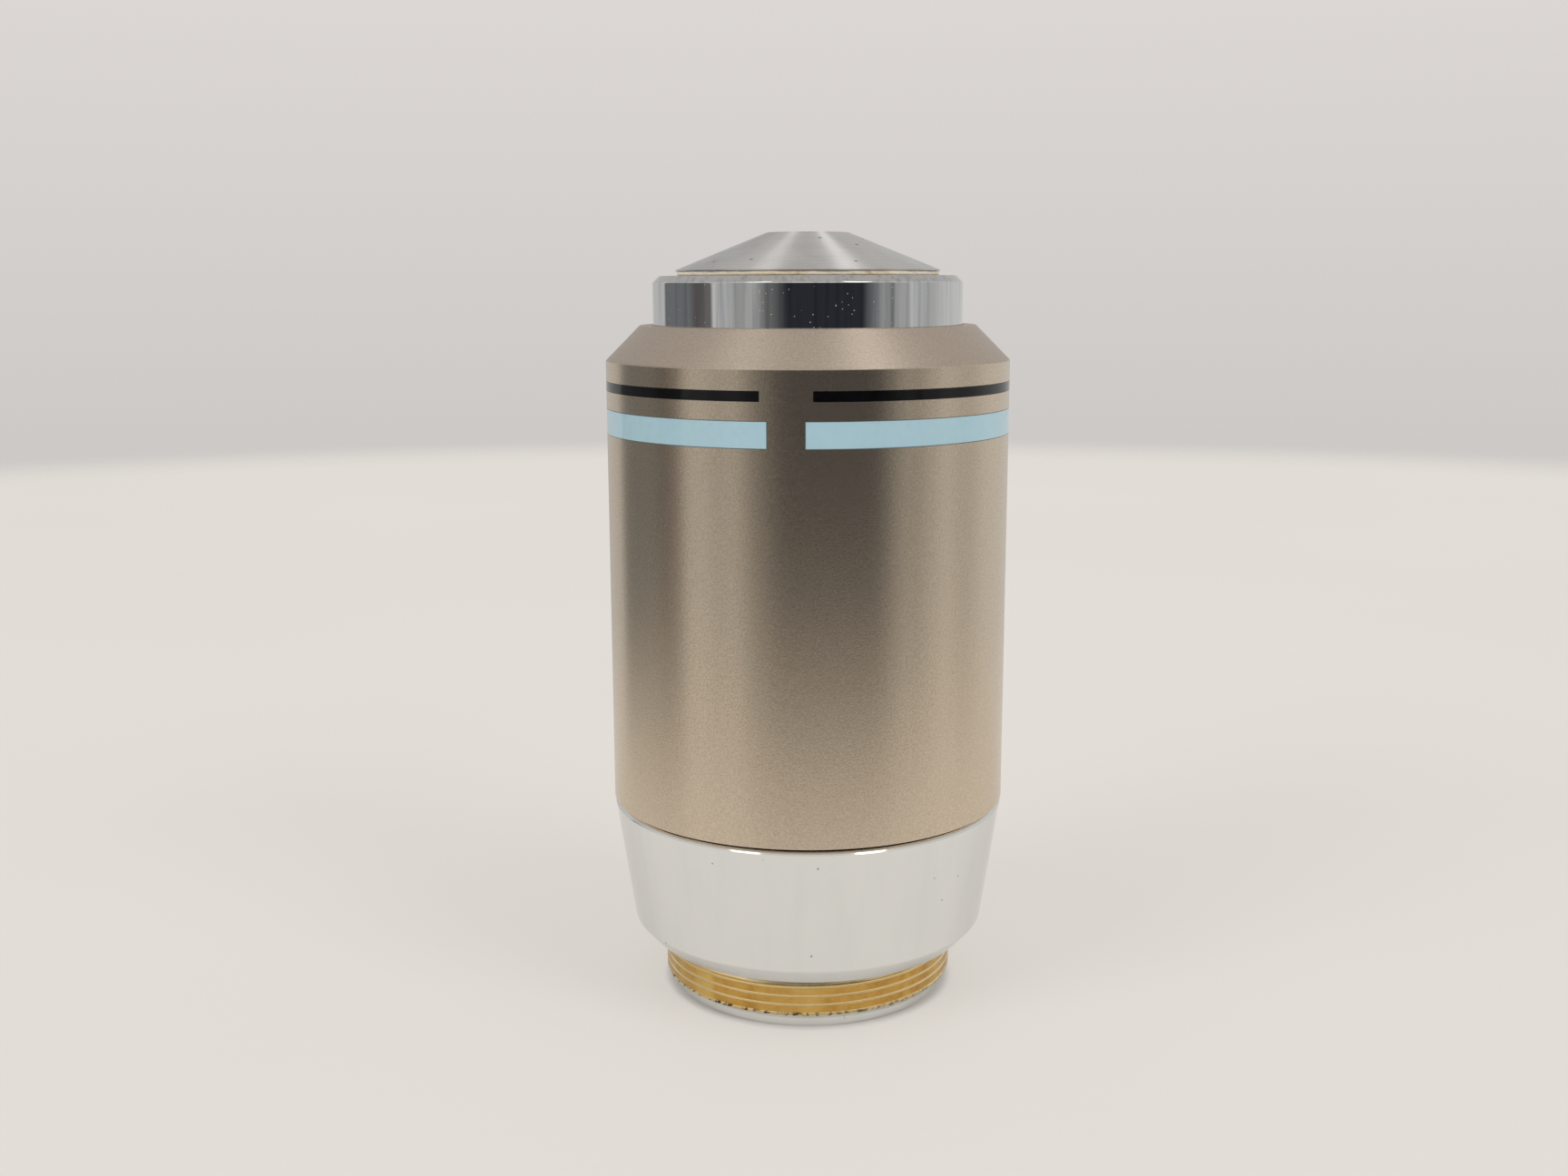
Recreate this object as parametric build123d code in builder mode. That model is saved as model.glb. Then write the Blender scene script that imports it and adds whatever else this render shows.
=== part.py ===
"""Spring-loaded oil-immersion microscope objective with an M25 mounting thread.

The origin is the centre of the threaded foot, and +Z runs along the optical axis to the front lens.
The gap in the two enamel bands faces -Y. All sizes are in millimetres.
"""

import os
from math import asin, cos, degrees, isclose, radians, sin, sqrt, tan

from build123d import *

# Mounting thread and the pilot below it
THREAD_D = 24.9
THREAD_LENGTH = 3.55
THREAD_CHAMFER = 0.35
PILOT_SETBACK = 0.55
PILOT_H = 1.1
PILOT_CHAMFER = 0.2
PORT_WALL = 1.1

# Optical lengths: the shoulder lies one parfocal length from the specimen
PARFOCAL = 60.0
WORKING_DISTANCE = 0.24
COVER_GLASS = 0.17

# Tapered skirt of the mounting base and the spigot that carries tube and sleeve
SHOULDER_LAND = 1.15
SKIRT_CHAMFER = 1.5
SKIRT_H = 12.15
SKIRT_SETBACK = 0.05
SKIRT_EDGE_R = 0.22
SHADOW_GAP = 0.12
SHADOW_DEPTH = 0.6
SPIGOT_H = 3.0
SEAT_DEPTH = 8.0

# Outer sleeve
SLEEVE_WALL = 1.3
SLEEVE_EDGE_R = 0.15
SLEEVE_FOOT_CHAMFER = 0.08
MOUTH_GAP = 0.15
RIM_LAND = 0.95

# Enamel bands, measured down from the sleeve's top edge, with gaps in degrees
BAND_DEPTH = 0.15
BLACK_BAND_DROP = 1.5
BLACK_BAND_H = 0.82
BLACK_BAND_GAP = 13.8
BLUE_BAND_DROP = 3.77
BLUE_BAND_H = 2.12
BLUE_BAND_GAP = 9.7

# Nose cone, its sealing bead and the chrome front ring
TIP_D = 6.8
CONE_RISE = 3.12
CONE_LAND = 0.1
CONE_OVERHANG = 1.4
SEAL_H = 0.45
SEAL_SETBACK = 0.12
RING_WALL = 2.3
RING_CHAMFER = 0.46
RING_SHOW = 3.9
RING_H = 9.2
RING_LIP = 1.8

# Travel of the nose
STROKE = 2.0
TWIST = 30.0
RETRACT_GAP = 0.5

# Lens barrel
BARREL_BORE_D = 17.6
BARREL_WALL = 1.7
NOSE_SEAT_WALL = 1.0
BARREL_LIP = 1.5
BARREL_LIP_STEP = 1.8
BARREL_TAIL = 0.5
BARREL_SPACE = 0.1
FLANGE_STEP = 1.6
FLANGE_H = 2.0

# Body tube
GUIDE_LENGTH = 15.0
CHAMBER_SPACE = 0.2
TUBE_FOOT_WALL = 1.2
TUBE_WALL = 1.4
TUBE_SPACE = 1.75
COLLAR_H = 3.0
TUBE_FOOT_GAP = 0.5

# Return spring and what it bears on
NUT_H = 3.0
NUT_SPACE = 0.2
THRUST_H = 1.0
WIRE_D = 1.0
SPRING_SPACE = 0.4
SPRING_COILS = 7
NOTCH_W = 1.6
NOTCH_H = 0.8

# Guide screw
SCREW_SHOULDER_D = 2.4
SCREW_STEM_D = 1.6
SCREW_RECESS = 0.3
SCREW_SLOT_W = 0.5
SCREW_SLOT_H = 0.6
SCREW_SPACE = 0.05

# Embedded front pair
FRONT_FACE_D = 3.0
FRONT_BEVEL_H = 1.3
FRONT_D = 7.2
FRONT_LAND = 1.0
FRONT_CURVE_MARGIN = 0.3
EMBED_D = 2.0
EMBED_CURVE_MARGIN = 0.05
FRONT_AIR = 0.4

# Lens groups: wall of the cell, thinnest place of each lens, and the depth of each surface
# from front to rear, above zero where it bulges to the front
NOSE_WALL = 3.0
SECOND_WALL = 1.1
SECOND_DEPTHS = (-1.17, -2.03)
SECOND_THINS = (1.7,)
THIRD_WALL = 1.58
THIRD_DEPTHS = (1.21, -1.99, -0.65)
THIRD_THINS = (0.8, 1.5)
FOURTH_WALL = 1.38
FOURTH_DEPTHS = (1.7, -1.95, 2.31, -1.17)
FOURTH_THINS = (1.5, 1.4, 0.6)
FIFTH_WALL = 1.78
FIFTH_DEPTHS = (1.27, -1.61, 0.41)
FIFTH_THINS = (1.1, 1.6)
REAR_WALL = 1.78
REAR_DEPTHS = (-2.51, 1.0, -1.88)
REAR_THINS = (1.4, 0.6)

# Cells, spacers and what holds the stack
CELL_TOP = 0.5
CELL_LIP = 1.2
LIP_STEP = 0.6
SPACER_WALL = 1.2
FRONT_SPACER_H = 2.0
STOP_H = 0.8
STOP_LAND = 2.48
RETAINER_H = 2.0
RETAINER_WALL = 2.0

# Clearances
FIT = 0.02
SLIDE_FIT = 0.04
CEMENT = 0.02

# Diameters that follow from the thread
PILOT_D = THREAD_D - 2 * PILOT_SETBACK
PORT_D = PILOT_D - 2 * PORT_WALL
SHOULDER_D = THREAD_D + 2 * SHOULDER_LAND
SKIRT_LOW_D = SHOULDER_D + 2 * SKIRT_CHAMFER

# Diameters that follow from the bore of the lens barrel and the walls around it
BARREL_D = BARREL_BORE_D + 2 * BARREL_WALL
BARREL_LIP_D = BARREL_BORE_D - 2 * BARREL_LIP_STEP
CELL_D = BARREL_BORE_D - 2 * FIT
STOP_HOLE_D = CELL_D - 2 * STOP_LAND
FLANGE_D = BARREL_D + 2 * FLANGE_STEP
CHAMBER_D = FLANGE_D + 2 * CHAMBER_SPACE
GUIDE_D = BARREL_D + 2 * SLIDE_FIT
TUBE_FOOT_D = CHAMBER_D + 2 * TUBE_FOOT_WALL
TUBE_D = CHAMBER_D + 2 * TUBE_WALL
SLEEVE_BORE_D = TUBE_D + 2 * TUBE_SPACE
SLEEVE_D = SLEEVE_BORE_D + 2 * SLEEVE_WALL
SPIGOT_D = SLEEVE_BORE_D - 2 * FIT
SKIRT_TOP_D = SLEEVE_D - 2 * SKIRT_SETBACK
RING_D = BARREL_D + 2 * RING_WALL
MOUTH_D = RING_D + 2 * MOUTH_GAP
RIM_D = MOUTH_D + 2 * RIM_LAND
NOSE_SPIGOT_D = BARREL_D - 2 * NOSE_SEAT_WALL
SECOND_CELL_D = NOSE_SPIGOT_D - 2 * NOSE_WALL
CONE_D = NOSE_SPIGOT_D + 2 * CONE_OVERHANG
SEAL_D = CONE_D - 2 * SEAL_SETBACK
SPRING_MEAN_D = BARREL_D + 2 * SPRING_SPACE + WIRE_D

# Heights of the mounting base, up from the foot
SHOULDER_Z = PILOT_H + THREAD_LENGTH
SKIRT_LOW_Z = SHOULDER_Z + SKIRT_CHAMFER
SKIRT_TOP_Z = SHOULDER_Z + SKIRT_H
SLEEVE_FOOT_Z = SKIRT_TOP_Z + SHADOW_GAP
SPIGOT_TOP_Z = SLEEVE_FOOT_Z + SPIGOT_H
SEAT_Z = SKIRT_TOP_Z - SEAT_DEPTH
BARREL_LOW_Z = SEAT_Z + STROKE + BARREL_SPACE
RETAINER_LOW_Z = BARREL_LOW_Z + BARREL_TAIL
REAR_LOW_Z = RETAINER_LOW_Z + RETAINER_H

# Heights of the nose, down from its tip
TIP_Z = SHOULDER_Z + PARFOCAL - WORKING_DISTANCE - COVER_GLASS
CONE_LOW_Z = TIP_Z - CONE_RISE
RING_TOP_Z = CONE_LOW_Z - SEAL_H
BARREL_TOP_Z = RING_TOP_Z - RING_LIP
RING_LOW_Z = RING_TOP_Z - RING_H
RIM_Z = RING_TOP_Z - RING_SHOW
SLEEVE_EDGE_Z = RIM_Z - (SLEEVE_D - RIM_D) / 2

# Heights of the guide and the spring
TUBE_TOP_Z = RING_LOW_Z - STROKE - RETRACT_GAP
STOP_Z = TUBE_TOP_Z - GUIDE_LENGTH
FLANGE_LOW_Z = STOP_Z - FLANGE_H
THRUST_LOW_Z = FLANGE_LOW_Z - THRUST_H
TUBE_FOOT_Z = SEAT_Z + TUBE_FOOT_GAP
NUT_TOP_Z = TUBE_FOOT_Z + NUT_H
SCREW_Z = STOP_Z + (GUIDE_LENGTH + STROKE) / 2


def surface_z(vertex_z, curve, radius):
    """Height of a spherical lens surface at a radius. A positive curve bulges to the front."""
    depth = abs(curve) - sqrt(curve * curve - radius * radius)
    return vertex_z - depth if curve > 0 else vertex_z + depth


def centre_thickness(edge_d, front_curve, rear_curve, thin):
    """Thickness on the axis of a lens whose thinnest place, middle or edge, is thin."""
    growth = surface_z(0, front_curve, edge_d / 2) - surface_z(0, rear_curve, edge_d / 2)
    return thin + max(0.0, -growth)


def cemented(top_z, edge_d, depths, thins):
    """Front vertex, front curve, rear vertex and rear curve of each lens in a group."""
    curves = [(edge_d * edge_d / 4 + depth * depth) / (2 * depth) for depth in depths]
    front_z = top_z - max(0.0, surface_z(0, curves[0], edge_d / 2))
    lenses = []
    for front_curve, rear_curve, thin in zip(curves, curves[1:], thins):
        rear_z = front_z - centre_thickness(edge_d, front_curve, rear_curve, thin)
        lenses.append((front_z, front_curve, rear_z, rear_curve))
        front_z = rear_z - CEMENT
    return lenses


def seat_height(last_lens, edge_d):
    """Height at which a group's rear surface meets the lip of its cell."""
    _, _, rear_z, rear_curve = last_lens
    lip_r = edge_d / 2 - LIP_STEP
    return min(surface_z(rear_z, rear_curve, radius) for radius in (lip_r, edge_d / 2))


def cell_low(last_lens, edge_d):
    """Height of the rear face of a cell, below its lip and its last lens."""
    return min(seat_height(last_lens, edge_d) - CELL_LIP, last_lens[2] - CELL_TOP)


def profile(points):
    """A closed section of (radius, height) points on the plane that holds the axis."""
    with BuildSketch(Plane.XZ) as shape:
        with BuildLine():
            Polyline(*points, close=True)
        make_face()
    return shape.sketch


def turned_ring(outer_d, inner_d, low_z, high_z):
    """A plain turned ring."""
    with BuildPart() as piece:
        with BuildSketch(Plane.XY.offset(low_z)):
            Circle(outer_d / 2)
            Circle(inner_d / 2, mode=Mode.SUBTRACT)
        extrude(amount=high_z - low_z)
    return piece


def notched_ring(outer_d, inner_d, low_z, high_z):
    """A turned ring with two spanner notches across its rear face."""
    with BuildPart() as piece:
        with BuildSketch(Plane.XY.offset(low_z)):
            Circle(outer_d / 2)
            Circle(inner_d / 2, mode=Mode.SUBTRACT)
        extrude(amount=high_z - low_z)
        with BuildSketch(Plane.XY.offset(low_z)):
            Rectangle(outer_d, NOTCH_W)
        extrude(amount=NOTCH_H, mode=Mode.SUBTRACT)
    return piece


def lens(edge_d, front_z, front_curve, rear_z, rear_curve):
    """A lens from the vertices and curves of its two surfaces."""
    front_mid, front_edge, rear_mid, rear_edge = [
        (radius, surface_z(vertex_z, curve, radius))
        for vertex_z, curve in ((front_z, front_curve), (rear_z, rear_curve))
        for radius in (edge_d / 4, edge_d / 2)
    ]
    with BuildPart() as piece:
        with BuildSketch(Plane.XZ):
            with BuildLine():
                ThreePointArc((0, front_z), front_mid, front_edge)
                Line(front_edge, rear_edge)
                ThreePointArc(rear_edge, rear_mid, (0, rear_z))
                Line((0, rear_z), (0, front_z))
            make_face()
        revolve(axis=Axis.Z)
    return piece


def lens_cell(outer_d, edge_d, top_z, last_lens):
    """A turned cell whose bore takes a lens group and whose lip carries it."""
    bore_r = edge_d / 2 + FIT
    lip_r = edge_d / 2 - LIP_STEP
    seat_z = seat_height(last_lens, edge_d)
    low_z = cell_low(last_lens, edge_d)
    with BuildPart() as piece:
        section = profile(
            [
                (bore_r, top_z),
                (outer_d / 2, top_z),
                (outer_d / 2, low_z),
                (lip_r, low_z),
                (lip_r, seat_z),
                (bore_r, seat_z),
            ]
        )
        revolve(section, axis=Axis.Z)
    return piece


def band_plane(gap):
    """The plane through the axis at the first end of a band with a gap centred on -Y."""
    angle = radians(gap / 2 - 90)
    return Plane(
        origin=(0, 0, 0),
        x_dir=(cos(angle), sin(angle), 0),
        z_dir=(sin(angle), -cos(angle), 0),
    )


def enamel_band(drop, height, gap):
    """A thin enamel ring, flush in its groove, broken by a gap."""
    high_z = SLEEVE_EDGE_Z - drop
    mid_r = (SLEEVE_D - BAND_DEPTH) / 2 + FIT / 2
    with BuildPart() as piece:
        with BuildSketch(band_plane(gap)):
            with Locations((mid_r, high_z - height / 2)):
                Rectangle(BAND_DEPTH - FIT, height)
        revolve(axis=Axis.Z, revolution_arc=360 - gap)
    return piece


def circles_at(part, diameter, height):
    """The circular edges of a part at one diameter and height."""
    return [
        edge
        for edge in part.edges().filter_by(GeomType.CIRCLE)
        if isclose(2 * edge.radius, diameter, abs_tol=FIT)
        and isclose(edge.arc_center.Z, height, abs_tol=FIT)
    ]


def save(piece, name):
    """Label a finished piece and write it."""
    piece.part.label = name
    export_step(piece.part, f"parts/{name}.step")


os.makedirs("parts", exist_ok=True)

# Lens groups, placed from the front pair down
front_curve = FRONT_D / 2 + FRONT_CURVE_MARGIN
embed_curve = EMBED_D / 2 + EMBED_CURVE_MARGIN
front_edge_z = TIP_Z - FRONT_BEVEL_H - FRONT_LAND
front_apex_z = front_edge_z + surface_z(0, front_curve, FRONT_D / 2)

second_d = SECOND_CELL_D - 2 * SECOND_WALL
second_top_z = front_apex_z - FRONT_AIR - SECOND_DEPTHS[0]
second_group = cemented(second_top_z, second_d, SECOND_DEPTHS, SECOND_THINS)
second_cell_top_z = second_top_z + CELL_TOP
nose_seat_z = cell_low(second_group[-1], second_d)
cell_seat_z = nose_seat_z - BARREL_LIP

third_d = CELL_D - 2 * THIRD_WALL
third_group = cemented(cell_seat_z - CELL_TOP, third_d, THIRD_DEPTHS, THIRD_THINS)
third_low_z = cell_low(third_group[-1], third_d)

fourth_d = CELL_D - 2 * FOURTH_WALL
fourth_top_z = third_low_z - FRONT_SPACER_H
fourth_group = cemented(fourth_top_z - CELL_TOP, fourth_d, FOURTH_DEPTHS, FOURTH_THINS)
fourth_low_z = cell_low(fourth_group[-1], fourth_d)

fifth_d = CELL_D - 2 * FIFTH_WALL
fifth_top_z = fourth_low_z - STOP_H
fifth_group = cemented(fifth_top_z - CELL_TOP, fifth_d, FIFTH_DEPTHS, FIFTH_THINS)
fifth_low_z = cell_low(fifth_group[-1], fifth_d)

# The rear group stands on the retaining ring, and the rear spacer takes up what is left
rear_d = CELL_D - 2 * REAR_WALL
rear_h = -cell_low(cemented(-CELL_TOP, rear_d, REAR_DEPTHS, REAR_THINS)[-1], rear_d)
rear_top_z = REAR_LOW_Z + rear_h
rear_group = cemented(rear_top_z - CELL_TOP, rear_d, REAR_DEPTHS, REAR_THINS)

# Mounting base: one turned piece from the pilot to the spigot
with BuildPart() as mounting_base:
    base_section = profile(
        [
            (PORT_D / 2, 0),
            (PILOT_D / 2 - PILOT_CHAMFER, 0),
            (PILOT_D / 2, PILOT_CHAMFER),
            (PILOT_D / 2, PILOT_H - THREAD_CHAMFER),
            (THREAD_D / 2, PILOT_H),
            (THREAD_D / 2, SHOULDER_Z),
            (SHOULDER_D / 2, SHOULDER_Z),
            (SKIRT_LOW_D / 2, SKIRT_LOW_Z),
            (SKIRT_TOP_D / 2, SKIRT_TOP_Z),
            (SKIRT_TOP_D / 2 - SHADOW_DEPTH, SKIRT_TOP_Z),
            (SKIRT_TOP_D / 2 - SHADOW_DEPTH, SLEEVE_FOOT_Z),
            (SPIGOT_D / 2, SLEEVE_FOOT_Z),
            (SPIGOT_D / 2, SPIGOT_TOP_Z),
            (TUBE_FOOT_D / 2 + FIT, SPIGOT_TOP_Z),
            (TUBE_FOOT_D / 2 + FIT, SEAT_Z),
            (PORT_D / 2, SEAT_Z),
        ]
    )
    revolve(base_section, axis=Axis.Z)
    fillet(circles_at(mounting_base.part, SKIRT_TOP_D, SKIRT_TOP_Z), radius=SKIRT_EDGE_R)

# Body tube: seats on the spigot, guides the lens barrel and stops its flange
with BuildPart() as body_tube:
    tube_section = profile(
        [
            (CHAMBER_D / 2, TUBE_FOOT_Z),
            (TUBE_FOOT_D / 2, TUBE_FOOT_Z),
            (TUBE_FOOT_D / 2, SPIGOT_TOP_Z),
            (SPIGOT_D / 2, SPIGOT_TOP_Z),
            (SPIGOT_D / 2, SPIGOT_TOP_Z + COLLAR_H),
            (TUBE_D / 2, SPIGOT_TOP_Z + COLLAR_H),
            (TUBE_D / 2, TUBE_TOP_Z - COLLAR_H),
            (SPIGOT_D / 2, TUBE_TOP_Z - COLLAR_H),
            (SPIGOT_D / 2, TUBE_TOP_Z),
            (GUIDE_D / 2, TUBE_TOP_Z),
            (GUIDE_D / 2, STOP_Z),
            (CHAMBER_D / 2, STOP_Z),
        ]
    )
    revolve(tube_section, axis=Axis.Z)
    # Window for the guide screw, as high as the stroke and as wide as the twist
    window_w = SCREW_SHOULDER_D + 2 * SCREW_SPACE
    window_h = window_w + STROKE
    window_z = SCREW_Z - STROKE / 2
    for angle in (90, 90 - TWIST):
        outward = (cos(radians(angle)), sin(radians(angle)), 0)
        with BuildSketch(Plane(origin=(0, 0, window_z), x_dir=(0, 0, 1), z_dir=outward)):
            SlotOverall(window_h, window_w)
        extrude(amount=TUBE_D, mode=Mode.SUBTRACT)
    twist_start = radians(90 - TWIST)
    with BuildSketch(
        Plane(
            origin=(0, 0, window_z),
            x_dir=(cos(twist_start), sin(twist_start), 0),
            z_dir=(sin(twist_start), -cos(twist_start), 0),
        )
    ):
        with Locations((TUBE_D / 2, 0)):
            Rectangle(TUBE_D / 2, window_h)
    revolve(axis=Axis.Z, revolution_arc=TWIST, mode=Mode.SUBTRACT)

# Outer sleeve with its 45 degree cone, and grooves for the bands
inner_cone_z = SLEEVE_EDGE_Z - SLEEVE_WALL * tan(radians(22.5))
with BuildPart() as outer_sleeve:
    sleeve_section = profile(
        [
            (SLEEVE_BORE_D / 2, SLEEVE_FOOT_Z),
            (SLEEVE_D / 2 - SLEEVE_FOOT_CHAMFER, SLEEVE_FOOT_Z),
            (SLEEVE_D / 2, SLEEVE_FOOT_Z + SLEEVE_FOOT_CHAMFER),
            (SLEEVE_D / 2, SLEEVE_EDGE_Z),
            (RIM_D / 2, RIM_Z),
            (MOUTH_D / 2, RIM_Z),
            (MOUTH_D / 2, inner_cone_z + (SLEEVE_BORE_D - MOUTH_D) / 2),
            (SLEEVE_BORE_D / 2, inner_cone_z),
        ]
    )
    revolve(sleeve_section, axis=Axis.Z)
    fillet(circles_at(outer_sleeve.part, SLEEVE_D, SLEEVE_EDGE_Z), radius=SLEEVE_EDGE_R)
    for drop, height, gap in (
        (BLACK_BAND_DROP, BLACK_BAND_H, BLACK_BAND_GAP),
        (BLUE_BAND_DROP, BLUE_BAND_H, BLUE_BAND_GAP),
    ):
        groove_gap = gap - 2 * degrees(asin(2 * FIT / SLEEVE_D))
        with BuildSketch(band_plane(groove_gap)):
            with Locations((SLEEVE_D / 2, SLEEVE_EDGE_Z - drop - height / 2)):
                Rectangle(2 * BAND_DEPTH, height + 2 * FIT)
        revolve(axis=Axis.Z, revolution_arc=360 - groove_gap, mode=Mode.SUBTRACT)

# Lens barrel: slides in the body tube and holds the stack of cells
with BuildPart() as lens_barrel:
    barrel_section = profile(
        [
            (BARREL_BORE_D / 2, BARREL_LOW_Z),
            (BARREL_D / 2, BARREL_LOW_Z),
            (BARREL_D / 2, FLANGE_LOW_Z),
            (FLANGE_D / 2, FLANGE_LOW_Z),
            (FLANGE_D / 2, STOP_Z),
            (BARREL_D / 2, STOP_Z),
            (BARREL_D / 2, BARREL_TOP_Z),
            (NOSE_SPIGOT_D / 2 + FIT, BARREL_TOP_Z),
            (NOSE_SPIGOT_D / 2 + FIT, nose_seat_z),
            (BARREL_LIP_D / 2, nose_seat_z),
            (BARREL_LIP_D / 2, cell_seat_z),
            (BARREL_BORE_D / 2, cell_seat_z),
        ]
    )
    revolve(barrel_section, axis=Axis.Z)
    with BuildSketch(Plane(origin=(0, 0, SCREW_Z), x_dir=(1, 0, 0), z_dir=(0, 1, 0))):
        Circle(SCREW_STEM_D / 2 + FIT)
    extrude(amount=BARREL_D, mode=Mode.SUBTRACT)

# Chrome front ring: screwed over the front of the lens barrel
with BuildPart() as front_ring:
    ring_section = profile(
        [
            (BARREL_D / 2 + FIT, RING_LOW_Z),
            (RING_D / 2, RING_LOW_Z),
            (RING_D / 2, RING_TOP_Z - RING_CHAMFER),
            (RING_D / 2 - RING_CHAMFER, RING_TOP_Z),
            (NOSE_SPIGOT_D / 2 + FIT, RING_TOP_Z),
            (NOSE_SPIGOT_D / 2 + FIT, BARREL_TOP_Z),
            (BARREL_D / 2 + FIT, BARREL_TOP_Z),
        ]
    )
    revolve(ring_section, axis=Axis.Z)

# Nose cone: screwed into the lens barrel, with the front pair in its tip
with BuildPart() as nose_cone:
    cone_section = profile(
        [
            (SECOND_CELL_D / 2 + FIT, nose_seat_z),
            (NOSE_SPIGOT_D / 2, nose_seat_z),
            (NOSE_SPIGOT_D / 2, CONE_LOW_Z),
            (CONE_D / 2, CONE_LOW_Z),
            (CONE_D / 2, CONE_LOW_Z + CONE_LAND),
            (TIP_D / 2, TIP_Z),
            (FRONT_FACE_D / 2 + FIT, TIP_Z),
            (FRONT_D / 2 + FIT, TIP_Z - FRONT_BEVEL_H),
            (FRONT_D / 2 + FIT, second_cell_top_z),
            (SECOND_CELL_D / 2 + FIT, second_cell_top_z),
        ]
    )
    revolve(cone_section, axis=Axis.Z)

# Front pair: a small plano-convex lens embedded in a thick bevelled one
embed_depth = -surface_z(0, embed_curve, EMBED_D / 2)
with BuildPart() as front_lens:
    with BuildSketch(Plane.XZ):
        with BuildLine():
            embed_mid = (EMBED_D / 4, TIP_Z - embed_depth - surface_z(0, embed_curve, EMBED_D / 4))
            ThreePointArc((0, TIP_Z - embed_depth), embed_mid, (EMBED_D / 2, TIP_Z))
            Line((EMBED_D / 2, TIP_Z), (0, TIP_Z))
            Line((0, TIP_Z), (0, TIP_Z - embed_depth))
        make_face()
    revolve(axis=Axis.Z)

with BuildPart() as front_meniscus:
    pocket_r = EMBED_D / 2 + CEMENT
    pocket_z = TIP_Z - embed_depth - CEMENT
    pocket_mid = (EMBED_D / 4, pocket_z - surface_z(0, embed_curve, EMBED_D / 4))
    apex_mid = (FRONT_D / 4, front_apex_z - surface_z(0, front_curve, FRONT_D / 4))
    with BuildSketch(Plane.XZ):
        with BuildLine():
            ThreePointArc((0, pocket_z), pocket_mid, (pocket_r, TIP_Z))
            Polyline(
                (pocket_r, TIP_Z),
                (FRONT_FACE_D / 2, TIP_Z),
                (FRONT_D / 2, TIP_Z - FRONT_BEVEL_H),
                (FRONT_D / 2, front_edge_z),
            )
            ThreePointArc((FRONT_D / 2, front_edge_z), apex_mid, (0, front_apex_z))
            Line((0, front_apex_z), (0, pocket_z))
        make_face()
    revolve(axis=Axis.Z)

# Return spring: a coil with its two ends ground flat
spring_length = THRUST_LOW_Z - NUT_TOP_Z
with BuildPart() as return_spring:
    with BuildLine() as coil:
        Helix(
            pitch=spring_length / SPRING_COILS,
            height=spring_length,
            radius=SPRING_MEAN_D / 2,
            center=(0, 0, NUT_TOP_Z),
        )
    with BuildSketch(Plane(origin=coil.line @ 0, z_dir=coil.line % 0)):
        Circle(WIRE_D / 2)
    sweep(path=coil.line, is_frenet=True)
    with BuildSketch(Plane.XY.offset(NUT_TOP_Z)):
        Circle(CHAMBER_D / 2)
    extrude(amount=spring_length, mode=Mode.INTERSECT)

# Guide screw: its stem is in the lens barrel and its shoulder runs in the window
screw_plane = Plane(origin=(0, BARREL_D / 2, SCREW_Z), x_dir=(1, 0, 0), z_dir=(0, 1, 0))
screw_head_h = (TUBE_D - BARREL_D) / 2 - SCREW_RECESS
with BuildPart() as guide_screw:
    with BuildSketch(screw_plane):
        Circle(SCREW_SHOULDER_D / 2)
    extrude(amount=screw_head_h)
    with BuildSketch(screw_plane):
        Circle(SCREW_STEM_D / 2)
    extrude(amount=-BARREL_WALL)
    with BuildSketch(screw_plane.offset(screw_head_h)):
        Rectangle(SCREW_SHOULDER_D, SCREW_SLOT_W)
    extrude(amount=-SCREW_SLOT_H, mode=Mode.SUBTRACT)

for piece, name in (
    (mounting_base, "mounting_base"),
    (body_tube, "body_tube"),
    (outer_sleeve, "outer_sleeve"),
    (enamel_band(BLACK_BAND_DROP, BLACK_BAND_H, BLACK_BAND_GAP), "immersion_band"),
    (enamel_band(BLUE_BAND_DROP, BLUE_BAND_H, BLUE_BAND_GAP), "magnification_band"),
    (lens_barrel, "lens_barrel"),
    (front_ring, "front_ring"),
    (nose_cone, "nose_cone"),
    (turned_ring(SEAL_D, NOSE_SPIGOT_D + 2 * FIT, RING_TOP_Z, CONE_LOW_Z), "nose_seal"),
    (front_lens, "front_lens"),
    (front_meniscus, "front_meniscus"),
    (return_spring, "return_spring"),
    (notched_ring(CHAMBER_D - 2 * FIT, BARREL_D + 2 * NUT_SPACE, TUBE_FOOT_Z, NUT_TOP_Z), "spring_nut"),
    (turned_ring(FLANGE_D, GUIDE_D, THRUST_LOW_Z, FLANGE_LOW_Z), "thrust_ring"),
    (guide_screw, "guide_screw"),
    (lens_cell(SECOND_CELL_D, second_d, second_cell_top_z, second_group[-1]), "second_cell"),
    (lens_cell(CELL_D, third_d, cell_seat_z, third_group[-1]), "third_cell"),
    (turned_ring(CELL_D, CELL_D - 2 * SPACER_WALL, fourth_top_z, third_low_z), "front_spacer"),
    (lens_cell(CELL_D, fourth_d, fourth_top_z, fourth_group[-1]), "fourth_cell"),
    (turned_ring(CELL_D, STOP_HOLE_D, fifth_top_z, fourth_low_z), "aperture_stop"),
    (lens_cell(CELL_D, fifth_d, fifth_top_z, fifth_group[-1]), "fifth_cell"),
    (turned_ring(CELL_D, CELL_D - 2 * SPACER_WALL, rear_top_z, fifth_low_z), "rear_spacer"),
    (lens_cell(CELL_D, rear_d, rear_top_z, rear_group[-1]), "rear_cell"),
    (notched_ring(CELL_D, CELL_D - 2 * RETAINER_WALL, RETAINER_LOW_Z, REAR_LOW_Z), "retaining_ring"),
):
    save(piece, name)

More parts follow.
